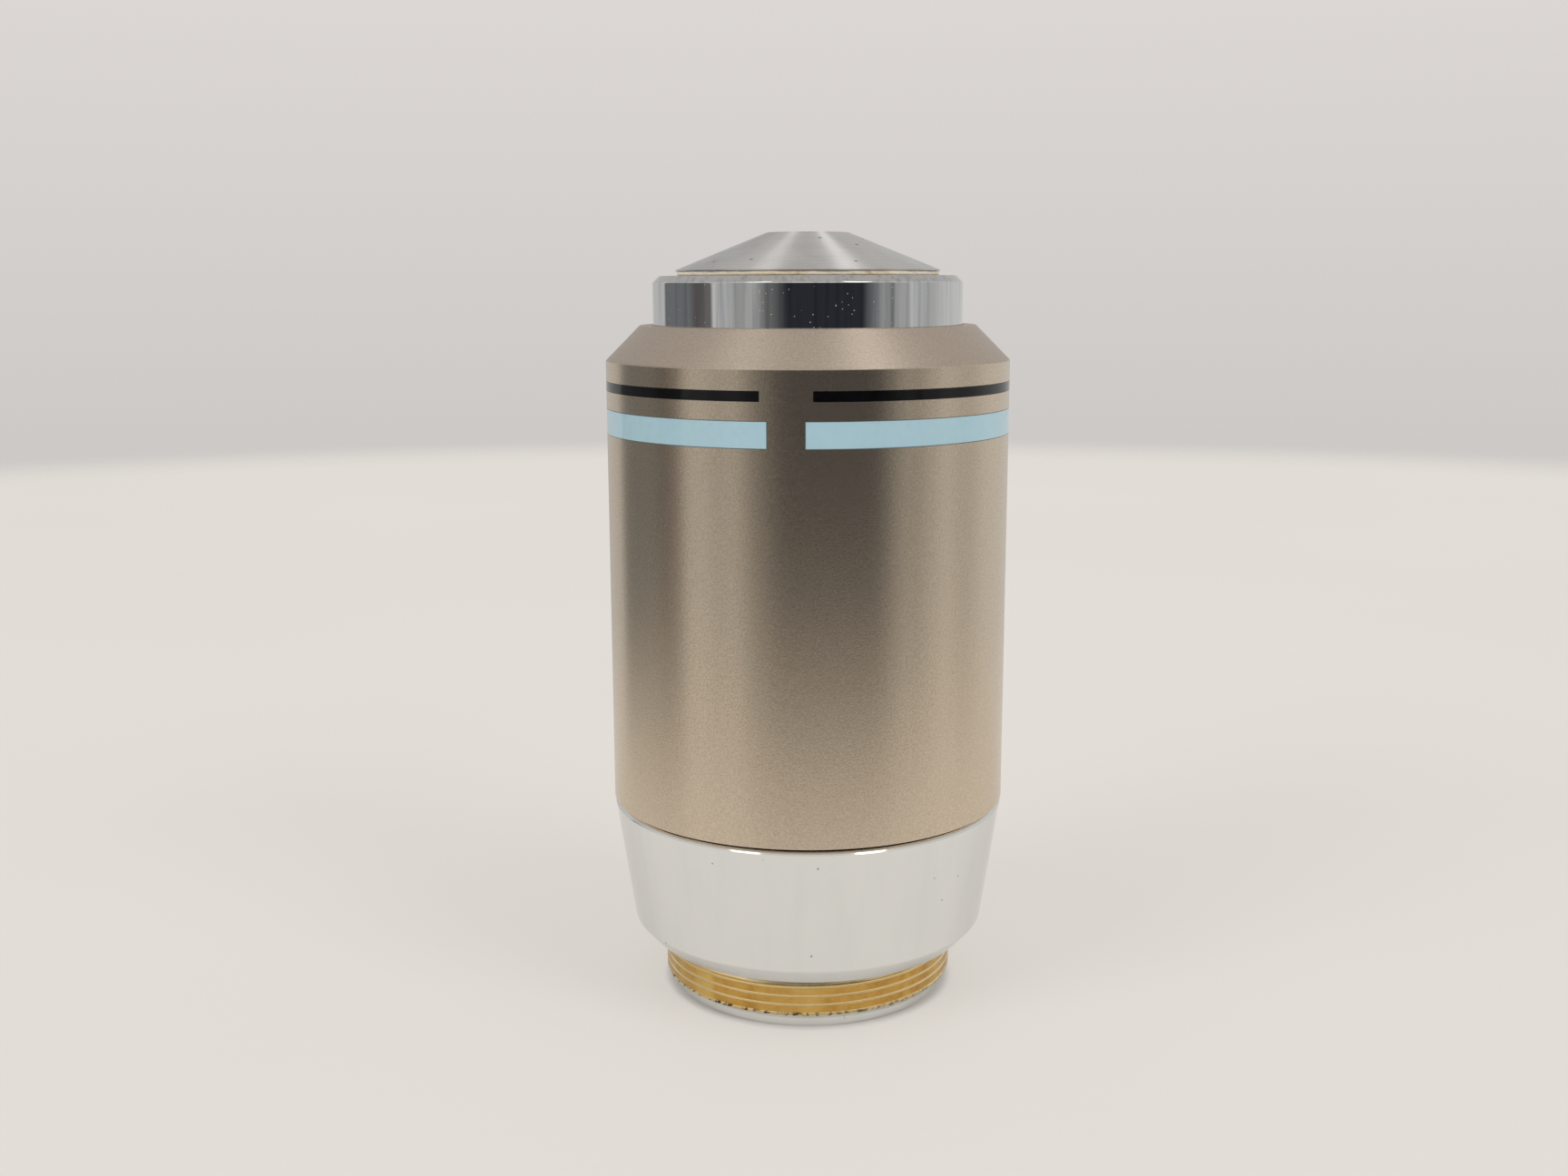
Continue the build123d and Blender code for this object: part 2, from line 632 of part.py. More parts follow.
for edge_d, group, names in (
    (second_d, second_group, ("second_lens",)),
    (third_d, third_group, ("third_crown_lens", "third_flint_lens")),
    (fourth_d, fourth_group, ("fourth_upper_lens", "fourth_middle_lens", "fourth_lower_lens")),
    (fifth_d, fifth_group, ("fifth_crown_lens", "fifth_flint_lens")),
    (rear_d, rear_group, ("rear_negative_lens", "rear_positive_lens")),
):
    for surfaces, name in zip(group, names):
        save(lens(edge_d, *surfaces), name)
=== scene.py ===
"""Looks of a spring-loaded oil-immersion microscope objective that stands on its mounting thread.

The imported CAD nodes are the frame. The turned pieces that show are modelled again here, with eased edges,
a cut thread and an uneven sealing bead. The pieces inside keep their CAD shapes and get new finishes.
Sizes are in millimetres until a finished mesh is brought to metres.
"""

import logging
from collections.abc import Callable
from dataclasses import dataclass
from enum import Enum
from functools import partial
from math import atan2, cos, hypot, pi, radians, sin, tan, tau

import bpy
from mathutils import Euler, Matrix, Vector

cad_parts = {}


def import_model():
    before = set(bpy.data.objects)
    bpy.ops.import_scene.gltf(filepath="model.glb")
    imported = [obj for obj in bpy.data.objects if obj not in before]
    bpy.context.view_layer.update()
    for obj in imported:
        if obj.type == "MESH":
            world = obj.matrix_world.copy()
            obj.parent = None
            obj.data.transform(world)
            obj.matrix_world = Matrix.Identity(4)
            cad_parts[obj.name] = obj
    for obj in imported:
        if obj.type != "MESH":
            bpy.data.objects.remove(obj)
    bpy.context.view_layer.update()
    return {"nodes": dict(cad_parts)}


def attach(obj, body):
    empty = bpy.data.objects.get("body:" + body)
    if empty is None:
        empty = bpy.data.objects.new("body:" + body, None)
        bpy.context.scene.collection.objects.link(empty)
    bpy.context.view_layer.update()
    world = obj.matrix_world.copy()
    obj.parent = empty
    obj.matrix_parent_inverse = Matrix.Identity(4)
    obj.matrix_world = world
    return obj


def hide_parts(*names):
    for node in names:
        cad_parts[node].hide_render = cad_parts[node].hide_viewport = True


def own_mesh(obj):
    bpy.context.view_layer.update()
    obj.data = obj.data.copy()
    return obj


LOG = logging.getLogger("objective")
MM = 0.001

Colour = tuple[float, float, float, float]
Inputs = dict[str, object]
Node = bpy.types.Node
NodeTree = bpy.types.NodeTree
Pair = tuple[float, float]
Section = list[Pair]
Socket = bpy.types.NodeSocket
Stops = list[tuple[float, str]]
Triple = tuple[float, float, float]

# Sizes, and the camera's angle in degrees, that more than one class is set out from
THREAD_R = 12.45
PILOT_R = 11.9
SLEEVE_FOOT = 16.92
SHOULDER_EDGE = 53.92
BAND_R = 16.75
RING_TOP = 60.75
RING_CHAMFER = 0.54
CAMERA_TURN = 5.5


class Body(Enum):
    """The CAD bodies that the new pieces ride on."""

    BARREL = "barrel"
    NOSE = "nose"


class Slot(Enum):
    """The material slots of the part's record."""

    PLATED_BASE = "plated_base"
    BRIGHT_CHROME = "bright_chrome"
    SATIN_BRONZE = "satin_bronze"
    LIGHT_BLUE_ENAMEL = "light_blue_enamel"
    BLACK_ENAMEL = "black_enamel"
    TURNED_NICKEL = "turned_nickel"
    AGED_SEALANT = "aged_sealant"
    SPRING_STEEL = "spring_steel"


def linear(code: str) -> Colour:
    """Turn an sRGB hex colour to linear.

    Args:
        code: A hash and six hex digits.

    Returns:
        Red, green, blue and alpha.
    """
    parts = [int(code[place : place + 2], 16) / 255 for place in (1, 3, 5)]
    red, green, blue = [c / 12.92 if c <= 0.04045 else ((c + 0.055) / 1.055) ** 2.4 for c in parts]
    return red, green, blue, 1.0


def per_metre(size_mm: float) -> float:
    """Scale of a pattern on Object coordinates whose features are about size_mm wide."""
    return 1 / (size_mm * MM)


def connect(tree: NodeTree, socket: Socket, value: object) -> None:
    """Set an input, or link it from a socket or from a node's first output in use.

    Args:
        tree: The node tree.
        socket: The input.
        value: A plain value, a socket or a node.
    """
    if isinstance(value, Node):
        value = next(output for output in value.outputs if output.enabled)
    if isinstance(value, Socket):
        tree.links.new(value, socket)
    else:
        socket.default_value = value


def add_node(
    tree: NodeTree,
    kind: str,
    *values: object,
    named: Inputs | None = None,
    stops: Stops | None = None,
    **settings: object,
) -> Node:
    """Add a node with its settings and links.

    Args:
        tree: The node tree.
        kind: The node's type name, without the ShaderNode before it.
        *values: What goes to the node's inputs in use, in their order.
        named: What goes to inputs by name.
        stops: Places and hex colours for a colour ramp.
        **settings: The node's own properties.

    Returns:
        The new node.
    """
    node = tree.nodes.new(f"ShaderNode{kind}")
    for name, value in settings.items():
        setattr(node, name, value)
    for socket, value in zip([socket for socket in node.inputs if socket.enabled], values):
        connect(tree, socket, value)
    for name, value in (named or {}).items():
        connect(tree, node.inputs[name], value)
    if stops:
        elements = node.color_ramp.elements
        while len(elements) < len(stops):
            elements.new(1.0)
        for element, (place, code) in zip(elements, stops):
            element.position = place
            element.color = linear(code)
    return node


def drawn_out(tree: NodeTree, place: Socket, size: Triple, detail: float, roughness: float = 0.5) -> Node:
    """Add a cloudy pattern whose patches have the given sizes along X, Y and Z."""
    scaled = add_node(tree, "VectorMath", place, tuple(map(per_metre, size)), operation="MULTIPLY")
    return add_node(tree, "TexNoise", scaled, 1.0, detail, roughness)


def spots(tree: NodeTree, place: Socket, size: Triple, edge: Pair) -> tuple[Node, Node]:
    """Add a pattern with one spot in each cell.

    Args:
        tree: The node tree.
        place: The piece's own coordinates.
        size: Sizes of a cell along X, Y and Z.
        edge: Where a spot starts and where it is full, from its middle, as shares of a cell.

    Returns:
        The spots, and a node with random numbers for each cell.
    """
    scaled = add_node(tree, "VectorMath", place, tuple(map(per_metre, size)), operation="MULTIPLY")
    cells = add_node(tree, "TexVoronoi", scaled, 1.0)
    return add_node(tree, "MapRange", cells, *edge), add_node(tree, "SeparateColor", cells.outputs["Color"])


def off_axis(tree: NodeTree, place: Socket) -> Node:
    """Add the distance from the objective's axis."""
    level = add_node(tree, "VectorMath", place, (1.0, 1.0, 0.0), operation="MULTIPLY")
    return add_node(tree, "VectorMath", level, operation="LENGTH")


class Finish:
    """A procedural finish, made into a material once."""

    name: str

    def material(self) -> bpy.types.Material:
        """The finish's material, made on its first use.

        Returns:
            The material.
        """
        made = bpy.data.materials.get(self.name)
        if made is None:
            made = bpy.data.materials.new(self.name)
            made.use_nodes = True
            tree = made.node_tree
            shader = tree.nodes["Principled BSDF"]
            place = add_node(tree, "TexCoord").outputs["Object"]
            for name, value in self.lay(tree, place).items():
                connect(tree, shader.inputs[name], value)
        return made

    def lay(self, tree: NodeTree, place: Socket) -> Inputs:
        """Add the finish's nodes on the piece's own coordinates, and give the shader's inputs."""
        raise NotImplementedError


@dataclass(frozen=True)
class PlatedBrass(Finish):
    """Brass under polished chrome plate, cut bare where the thread is.

    The plate is a soft mirror with a few smudges and pin holes. The thread is gold-coloured cut metal,
    browner in patches, with a ragged edge where the cut meets the plate.
    """

    name: str = "chrome_plated_brass"
    plate: str = "#EEEFEE"
    smudge: str = "#EAECEB"
    pin_hole: str = "#6E6C68"
    brass: str = "#D2A658"
    brown: str = "#B58842"
    light_patch: str = "#E3C172"
    pale: str = "#FDEBBE"
    dirt: str = "#4A3418"
    joint_shade: str = "#1E1B18"
    plate_roughness: Pair = (0.095, 0.08)
    brass_roughness: float = 0.27
    thread: Pair = (1.15, 4.5)
    ragged: float = 0.5
    crest_r: float = THREAD_R
    groove_highlight: Pair = (0.02, 0.04)
    chipped: Pair = (0.36, 0.10)
    joint: Pair = (16.36, 16.4)

    def lay(self, tree: NodeTree, place: Socket) -> Inputs:
        """Add the finish's nodes.

        Args:
            tree: The node tree.
            place: The piece's own coordinates.

        Returns:
            What goes to the shader's inputs.
        """
        add = partial(add_node, tree)
        height = add("SeparateXYZ", place).outputs["Z"]
        radius = off_axis(tree, place)

        # The cut's ends wander by half a millimetre
        wander = add("TexNoise", place, per_metre(0.5), 6.0, 0.7)
        level = add("Math", wander, self.ragged * MM, height, operation="MULTIPLY_ADD")
        low, high = ((end + self.ragged / 2) * MM for end in self.thread)
        above = add("MapRange", level, low - 0.03 * MM, low + 0.03 * MM)
        below = add("MapRange", level, high + 0.05 * MM, high - 0.05 * MM)
        bare = add("Math", above, below, operation="MULTIPLY")

        # Plate: smudges wiped down the skirt, and pin holes under 0.1 mm wide that come in clusters
        smear = drawn_out(tree, place, (2.2, 2.2, 15.0), 3.0)
        cloud = add("ValToRGB", smear, stops=[(0.30, self.smudge), (0.55, self.plate), (1.0, self.plate)])
        pit, chance = spots(tree, place, (0.6, 0.6, 0.6), (0.16, 0.08))
        cluster = add("TexNoise", place, per_metre(4.5), 2.0)
        often = add("Math", chance.outputs[0], cluster, operation="MULTIPLY")
        chosen = add("Math", often, 0.54, operation="GREATER_THAN")
        hole = add("Math", pit, chosen, operation="MULTIPLY")
        plate = add("Mix", hole, cloud, linear(self.pin_hole), data_type="RGBA")

        # Thread: tarnish in patches 1.6 mm wide, lighter zones 3 mm wide that run up the thread, a painted
        # highlight that makes the grooves pale, dirt in pin holes and in chips along the low edge
        tarnish = add("TexNoise", place, per_metre(1.6), 8.0, 0.75)
        brass = add("ValToRGB", tarnish, stops=[(0.32, self.brown), (0.55, self.brass)])
        patch_noise = drawn_out(tree, place, (3.0, 3.0, 20.0), 2.0)
        light_patches = add("MapRange", patch_noise, 0.48, 0.68, 0.0, 0.8)
        # Painted highlight: the grooves take a pale colour
        groove_highlight = add("MapRange", radius, *((self.crest_r - depth) * MM for depth in self.groove_highlight))
        chips = add("TexNoise", place, per_metre(0.4), 4.0, 0.6)
        chip = add("MapRange", chips, 0.50, 0.55)
        edge = add("MapRange", level, *(low + rise * MM for rise in self.chipped))
        chipped = add("Math", chip, edge, operation="MULTIPLY")
        dirty = add("Math", hole, chipped, operation="MAXIMUM")
        for share, tone in ((light_patches, self.light_patch), (groove_highlight, self.pale), (dirty, self.dirt)):
            brass = add("Mix", share, brass, linear(tone), data_type="RGBA")

        # Joint: painted shade blackens the narrow step under the sleeve
        tucked = add("Math", radius, self.joint[0] * MM, operation="LESS_THAN")
        raised = add("Math", height, self.joint[1] * MM, operation="GREATER_THAN")
        shaded_joint = add("Math", tucked, raised, operation="MULTIPLY")
        cut = add("Mix", bare, plate, brass, data_type="RGBA")
        colour = add("Mix", shaded_joint, cut, linear(self.joint_shade), data_type="RGBA")

        smooth = add("MapRange", smear, 0.3, 0.6, *self.plate_roughness)
        rough = add("Mix", bare, smooth, self.brass_roughness, data_type="FLOAT")
        burr = add("TexNoise", place, per_metre(0.16), 4.0, 0.7)
        burred = add("Math", burr, bare, operation="MULTIPLY")
        bump = add("Bump", named={"Height": burred, "Strength": 0.35, "Distance": 0.03 * MM})
        return {"Metallic": 1.0, "Base Color": colour, "Roughness": rough, "Normal": bump}


@dataclass(frozen=True)
class PolishedChrome(Finish):
    """Ground and polished chrome plate, a clear mirror with hair scratches and a few specks of dirt."""

    name: str = "polished_chrome"
    plate: str = "#DFE0E1"
    reflection_streak: str = "#C6C9CE"
    speck: str = "#5A5652"
    dust: str = "#C9C6C0"
    chamfer_shade: str = "#E6E3DF"
    chamfer_shade_z: float = RING_TOP - RING_CHAMFER
    chamfer_shade_rise: Pair = (0.005, 0.065)
    roughness: Pair = (0.021, 0.048)

    def lay(self, tree: NodeTree, place: Socket) -> Inputs:
        """Add the finish's nodes.

        Args:
            tree: The node tree.
            place: The piece's own coordinates.

        Returns:
            What goes to the shader's inputs.
        """
        add = partial(add_node, tree)
        # Faint vertical streaks 0.4 mm wide, darker than the plate: painted reflections of thin things in the
        # room
        streaks = drawn_out(tree, place, (0.4, 0.4, 14.0), 4.0, 0.6)
        colour = add("ValToRGB", streaks, stops=[(0.34, self.reflection_streak), (0.52, self.plate), (1.0, self.plate)])

        # Dark specks of dirt and pale grains of dust, each about 0.1 mm wide
        dot, chance = spots(tree, place, (0.48, 0.48, 0.48), (0.11, 0.05))
        for channel, limit, tone in ((1, 0.90, self.speck), (0, 0.40, self.dust)):
            chosen = add("Math", chance.outputs[channel], limit, operation="GREATER_THAN")
            flaw = add("Math", dot, chosen, operation="MULTIPLY")
            colour = add("Mix", flaw, colour, linear(tone), data_type="RGBA")
        # Dust, the last of these, isn't metal, so it shows pale where the plate mirrors the dark
        metal = add("Math", 1.0, flaw, operation="SUBTRACT")

        # Painted shade: the chamfer's colour is multiplied darker, so it mirrors the room more dimly
        height = add("SeparateXYZ", place).outputs["Z"]
        bevel = add("MapRange", height, *((self.chamfer_shade_z + rise) * MM for rise in self.chamfer_shade_rise))
        chamfer_shaded = add("Mix", bevel, colour, linear(self.chamfer_shade), data_type="RGBA", blend_type="MULTIPLY")

        # Polishing lines run round the ring, 0.05 mm apart
        lines = drawn_out(tree, place, (3.0, 3.0, 0.05), 3.0)
        smear = add("TexNoise", place, per_metre(4.0), 4.0)
        rough = add("MapRange", smear, 0.35, 0.65, *self.roughness)
        bump = add("Bump", named={"Height": lines, "Strength": 0.25, "Distance": 0.002 * MM})
        return {"Metallic": metal, "Base Color": chamfer_shaded, "Roughness": rough, "Normal": bump}


@dataclass(frozen=True)
class BlastedBronze(Finish):
    """Aluminium turned, bead-blasted and anodised champagne bronze: a silky sheen with a very fine grain.

    The turning under the blast draws the sheen out along the sleeve. The shoulder is rougher, and painted
    shade multiplies its colour darker and a little bluer.
    """

    name: str = "blasted_bronze_anodised_aluminium"
    light: str = "#E9D9C3"
    dark: str = "#D2C1AB"
    roughness: float = 0.27
    shoulder_roughness: float = 0.45
    shoulder_shade: str = "#E6E6EC"
    shoulder_z: float = SHOULDER_EDGE
    shoulder_blend: float = 0.05
    grain: float = 0.13

    def lay(self, tree: NodeTree, place: Socket) -> Inputs:
        """Add the finish's nodes.

        Args:
            tree: The node tree.
            place: The piece's own coordinates.

        Returns:
            What goes to the shader's inputs.
        """
        add = partial(add_node, tree)
        # The real grit is about 0.05 mm, drawn more than twice as coarse so that it shows
        grit = add("TexNoise", place, per_metre(self.grain), 2.0, 0.6)
        colour = add("ValToRGB", grit, stops=[(0.32, self.dark), (0.68, self.light)])
        height = add("SeparateXYZ", place).outputs["Z"]
        low, high = (self.shoulder_z + side * self.shoulder_blend for side in (-1, 1))
        above = add("MapRange", height, low * MM, high * MM)
        # Painted shade: the shoulder's colour is multiplied darker and a little bluer
        shoulder_shaded = add(
            "Mix", above, colour, linear(self.shoulder_shade), data_type="RGBA", blend_type="MULTIPLY"
        )
        return {
            "Metallic": 1.0,
            "Anisotropic": 0.5,
            "Anisotropic Rotation": 0.25,
            "Tangent": add("Tangent", direction_type="RADIAL", axis="Z"),
            "Base Color": shoulder_shaded,
            "Roughness": add("Mix", above, self.roughness, self.shoulder_roughness, data_type="FLOAT"),
            "Normal": add("Bump", named={"Height": grit, "Strength": 0.5, "Distance": 0.010 * MM}),
        }


@dataclass(frozen=True)
class BandEnamel(Finish):
    """Baked enamel laid in a thin band: an even colour under a glossy, faintly rippled skin."""

    name: str
    tint: str
    shade: str
    edge_shade: str
    band: Triple
    roughness: float
    ior: float
    edge_shade_reach: Pair = (0.08, 0.04)
    band_r: float = BAND_R

    def lay(self, tree: NodeTree, place: Socket) -> Inputs:
        """Add the finish's nodes.

        Args:
            tree: The node tree.
            place: The piece's own coordinates.

        Returns:
            What goes to the shader's inputs.
        """
        add = partial(add_node, tree)
        ripple = add("TexNoise", place, per_metre(0.6), 2.0)
        even = add("ValToRGB", ripple, stops=[(0.3, self.shade), (0.6, self.tint)])

        # Painted shadow: a dark line 0.05 mm wide along the band's edges and, at the front, its two ends
        low, high, gap = self.band
        axes = add("SeparateXYZ", place)
        rise = add("Math", axes.outputs["Z"], (low + high) / 2 * MM, operation="SUBTRACT")
        end = self.band_r * sin(radians(gap / 2))
        edges = []
        for value, limit, side in ((rise, (high - low) / 2, -1), (axes.outputs["X"], end, 1)):
            away = add("Math", value, operation="ABSOLUTE")
            edges.append(add("MapRange", away, *((limit + side * reach) * MM for reach in self.edge_shade_reach)))
        front = add("Math", axes.outputs["Y"], 0.0, operation="LESS_THAN")
        ends = add("Math", edges[1], front, operation="MULTIPLY")
        edge_shade_mask = add("Math", edges[0], ends, operation="MAXIMUM")
        return {
            "IOR": self.ior,
            "Base Color": add("Mix", edge_shade_mask, even, linear(self.edge_shade), data_type="RGBA"),
            "Roughness": self.roughness,
            "Normal": add("Bump", named={"Height": ripple, "Strength": 0.12, "Distance": 0.01 * MM}),
        }


@dataclass(frozen=True)
class TurnedNickel(Finish):
    """Nickel-plated brass fresh from the lathe: fine rings that draw the light out into radial streaks."""

    name: str = "lathe_turned_nickel"
    light: str = "#ECEAE8"
    dark: str = "#D8D6D4"
    nick: str = "#77746F"
    roughness: Pair = (0.38, 0.48)
    feed: float = 0.14

    def lay(self, tree: NodeTree, place: Socket) -> Inputs:
        """Add the finish's nodes.

        Args:
            tree: The node tree.
            place: The piece's own coordinates.

        Returns:
            What goes to the shader's inputs.
        """
        add = partial(add_node, tree)
        # The tool's feed leaves rings about 0.04 mm apart, drawn over three times as coarse so that they show
        turns = add("Math", off_axis(tree, place), per_metre(self.feed), operation="MULTIPLY")
        rings = add("TexNoise", turns, 1.0, 3.0, 0.65, noise_dimensions="1D")
        colour = add("ValToRGB", rings, stops=[(0.25, self.dark), (0.75, self.light)])

        # Nicks from handling, about 0.3 mm long round the cone
        dot, chance = spots(tree, place, (1.6, 1.6, 0.5), (0.13, 0.06))
        chosen = add("Math", chance.outputs[0], 0.70, operation="GREATER_THAN")
        nick = add("Math", dot, chosen, operation="MULTIPLY")
        scuff = add("TexNoise", place, per_metre(1.5), 6.0)
        return {
            "Metallic": 1.0,
            "Anisotropic": 1.0,
            "Anisotropic Rotation": 0.25,
            "Tangent": add("Tangent", direction_type="RADIAL", axis="Z"),
            "Base Color": add("Mix", nick, colour, linear(self.nick), data_type="RGBA"),
            "Roughness": add("MapRange", scuff, 0.3, 0.7, *self.roughness),
            "Normal": add("Bump", named={"Height": rings, "Strength": 0.6, "Distance": 0.012 * MM}),
        }


@dataclass(frozen=True)
class AgedSealant(Finish):
    """Lens sealant gone yellow with age and oil: cream to brown in patches, with a waxy shine."""

    name: str = "yellowed_sealant"
    cream: str = "#FFF4E0"
    amber: str = "#F0DDBA"
    brown: str = "#B9976A"
    roughness: float = 0.28
    ior: float = 1.46

    def lay(self, tree: NodeTree, place: Socket) -> Inputs:
        """Add the finish's nodes.

        Args:
            tree: The node tree.
            place: The piece's own coordinates.

        Returns:
            What goes to the shader's inputs.
        """
        add = partial(add_node, tree)
        patches = add("TexNoise", place, per_metre(3.2), 6.0, 0.7)
        stops = [(0.32, self.brown), (0.42, self.amber), (0.54, self.cream)]
        return {
            "IOR": self.ior,
            "Base Color": add("ValToRGB", patches, stops=stops),
            "Roughness": self.roughness,
            "Normal": add("Bump", named={"Height": patches, "Strength": 0.4, "Distance": 0.04 * MM}),
        }


@dataclass(frozen=True)
class MachinedMetal(Finish):
    """Plain machined metal of the pieces inside: one tone, broken by tool marks round the axis."""

    name: str
    light: str
    dark: str
    roughness: float
    mark: float = 0.15

    def lay(self, tree: NodeTree, place: Socket) -> Inputs:
        """Add the finish's nodes.

        Args:
            tree: The node tree.
            place: The piece's own coordinates.

        Returns:
            What goes to the shader's inputs.
        """
        add = partial(add_node, tree)
        marks = drawn_out(tree, place, (2.5, 2.5, self.mark), 4.0)
        return {
            "Metallic": 1.0,
            "Base Color": add("ValToRGB", marks, stops=[(0.3, self.dark), (0.7, self.light)]),
            "Roughness": self.roughness,
            "Normal": add("Bump", named={"Height": marks, "Strength": 0.3, "Distance": 0.01 * MM}),
        }


@dataclass(frozen=True)
class OpticalGlass(Finish):
    """Polished optical glass under an anti-reflection coating that gives a faint violet-green sheen."""

    name: str = "coated_optical_glass"
    tint: str = "#F2F7F4"
    coating: str = "#D8C9E6"
    coat_weight: float = 0.2
    ior: float = 1.52

    def lay(self, tree: NodeTree, place: Socket) -> Inputs:
        """Add the finish's nodes.

        Args:
            tree: The node tree.
            place: The piece's own coordinates.

        Returns:
            What goes to the shader's inputs.
        """
        dust = add_node(tree, "TexNoise", place, per_metre(0.4), 5.0)
        return {
            "Base Color": linear(self.tint),
            "Transmission Weight": 1.0,
            "IOR": self.ior,
            "Coat Weight": self.coat_weight,
            "Coat Tint": linear(self.coating),
            "Roughness": add_node(tree, "MapRange", dust, 0.6, 0.85, 0.0, 0.08),
        }


class Lathe:
    """Turns and eases meshes with edit-mode tools. Sections are (radius, height) points in millimetres."""

    weld_gap: float = 1e-3
    on_edge: float = 0.02
    same_radius: float = 1e-3
    same_height: float = 1e-4

    @staticmethod
    def take(name: str) -> bpy.types.Object:
        """Name the primitive that was just added and put its place in its mesh.

        Args:
            name: The piece's name.

        Returns:
            The primitive.
        """
        piece = bpy.context.object
        piece.name = name
        bpy.ops.object.transform_apply()
        return piece

    @classmethod
    def weld(cls) -> None:
        """Merge the doubles of the mesh in edit mode."""
        bpy.ops.mesh.select_all(action="SELECT")
        bpy.ops.mesh.remove_doubles(threshold=cls.weld_gap)

    @staticmethod
    def close() -> None:
        """Point all faces of the mesh in edit mode outwards, and leave edit mode."""
        bpy.ops.mesh.select_all(action="SELECT")
        bpy.ops.mesh.normals_make_consistent(inside=False)
        bpy.ops.object.mode_set(mode="OBJECT")

    @classmethod
    def turn(cls, name: str, section: Section, segments: int) -> bpy.types.Object:
        """Draw a closed section round the axis, one circle after another.

        Args:
            name: The piece's name.
            section: The section's corners in order, with the last one joined to the first.
            segments: Sides of each circle.

        Returns:
            The turned piece, in millimetres.
        """
        bpy.ops.object.select_all(action="DESELECT")
        radius, height = section[0]
        bpy.ops.mesh.primitive_circle_add(vertices=segments, radius=radius, location=(0, 0, height))
        piece = cls.take(name)
        bpy.ops.object.mode_set(mode="EDIT")
        bpy.ops.mesh.select_all(action="SELECT")
        for next_radius, next_height in [*section[1:], section[0]]:
            bpy.ops.mesh.extrude_edges_move(TRANSFORM_OT_translate={"value": (0, 0, next_height - height)})
            grow = next_radius / radius
            bpy.ops.transform.resize(value=(grow, grow, 1), center_override=(0, 0, next_height))
            radius, height = next_radius, next_height
        cls.weld()
        cls.close()
        return piece

    @staticmethod
    def wind(piece: bpy.types.Object, rise: float, turns: int, steps: int) -> None:
        """Screw a piece's section up the axis.

        Args:
            piece: The section, in millimetres.
            rise: Height gained in a turn.
            turns: Number of turns.
            steps: Steps in a turn.
        """
        bpy.ops.object.modifier_add(type="SCREW")
        screw = piece.modifiers[-1]
        screw.axis = "Z"
        screw.screw_offset = rise
        screw.iterations = turns
        screw.steps = steps
        screw.render_steps = steps
        bpy.ops.object.modifier_apply(modifier=screw.name)

    @staticmethod
    def part_off(low: float, high: float, near: float, capped: bool) -> None:
        """Cut off what lies below one height and above another, from the mesh in edit mode.

        Args:
            low: The lower cut.
            high: The upper cut.
            near: Distance at which a point counts as on the cut.
            capped: Whether the cuts are filled.
        """
        for height, side in ((low, -1), (high, 1)):
            bpy.ops.mesh.select_all(action="SELECT")
            bpy.ops.mesh.bisect(
                plane_co=(0, 0, height),
                plane_no=(0, 0, side),
                use_fill=capped,
                clear_outer=True,
                threshold=near,
            )

    @classmethod
    def ease(cls, piece: bpy.types.Object, edges: Section, width: float, steps: int = 3) -> None:
        """Bevel the circular edges that pass through the given points.

        Args:
            piece: The turned piece, in millimetres.
            edges: A (radius, height) point on each edge.
            width: Width of the bevel.
            steps: Faces across the bevel.
        """
        mesh = piece.data
        points = [(hypot(v.co.x, v.co.y), v.co.z) for v in mesh.vertices]
        marked = [
            any(abs(radius - r) < cls.on_edge and abs(height - z) < cls.on_edge for r, z in edges)
            for radius, height in points
        ]
        bpy.ops.object.mode_set(mode="EDIT")
        bpy.ops.mesh.select_mode(type="EDGE")
        bpy.ops.mesh.select_all(action="DESELECT")
        bpy.ops.object.mode_set(mode="OBJECT")
        for edge in mesh.edges:
            first, second = edge.vertices
            alike = abs(points[first][0] - points[second][0]) < cls.same_radius
            level = abs(points[first][1] - points[second][1]) < cls.same_height
            edge.select = level and alike and marked[first] and marked[second]
        bpy.ops.object.mode_set(mode="EDIT")
        bpy.ops.mesh.bevel(offset=width, segments=steps, affect="EDGES", profile=0.5)
        bpy.ops.object.mode_set(mode="OBJECT")

    @staticmethod
    def shape(piece: bpy.types.Object, move: Callable[[float, float, float], Pair]) -> None:
        """Move each point in its own half plane through the axis.

        Args:
            piece: The turned piece, in millimetres.
            move: Gives the new radius and height for an angle, radius and height.
        """
        for vertex in piece.data.vertices:
            angle = atan2(vertex.co.y, vertex.co.x)
            radius, height = move(angle, hypot(vertex.co.x, vertex.co.y), vertex.co.z)
            vertex.co = (radius * cos(angle), radius * sin(angle), height)

    @staticmethod
    def hand_over(
        piece: bpy.types.Object, finish: Finish, body: Body, slot: Slot, node: str, crease: float = 32.0
    ) -> None:
        """Bring a piece to metres, smooth and dress it, and put it in place of its CAD node.

        Args:
            piece: The modelled piece, in millimetres.
            finish: Its finish.
            body: The body it rides on.
            slot: Its material slot in the record; not used.
            node: The CAD node it stands for.
            crease: Angle in degrees above which an edge stays sharp.
        """
        piece.scale = (MM, MM, MM)
        bpy.ops.object.select_all(action="DESELECT")
        piece.select_set(True)
        bpy.context.view_layer.objects.active = piece
        bpy.ops.object.transform_apply(location=True, rotation=True, scale=True)
        bpy.ops.object.shade_smooth_by_angle(angle=radians(crease))
        # Wide faces keep their own direction, so that an eased edge doesn't bend the reflections beside it
        bpy.ops.object.modifier_add(type="WEIGHTED_NORMAL")
        weighted = piece.modifiers[-1]
        weighted.keep_sharp = True
        weighted.weight = 100
        bpy.ops.object.modifier_apply(modifier=weighted.name)
        piece.data.materials.clear()
        piece.data.materials.append(finish.material())
        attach(piece, body.value)
        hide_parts(node)
        LOG.info("%s: %d faces, rides on %s", piece.name, len(piece.data.polygons), body.value)


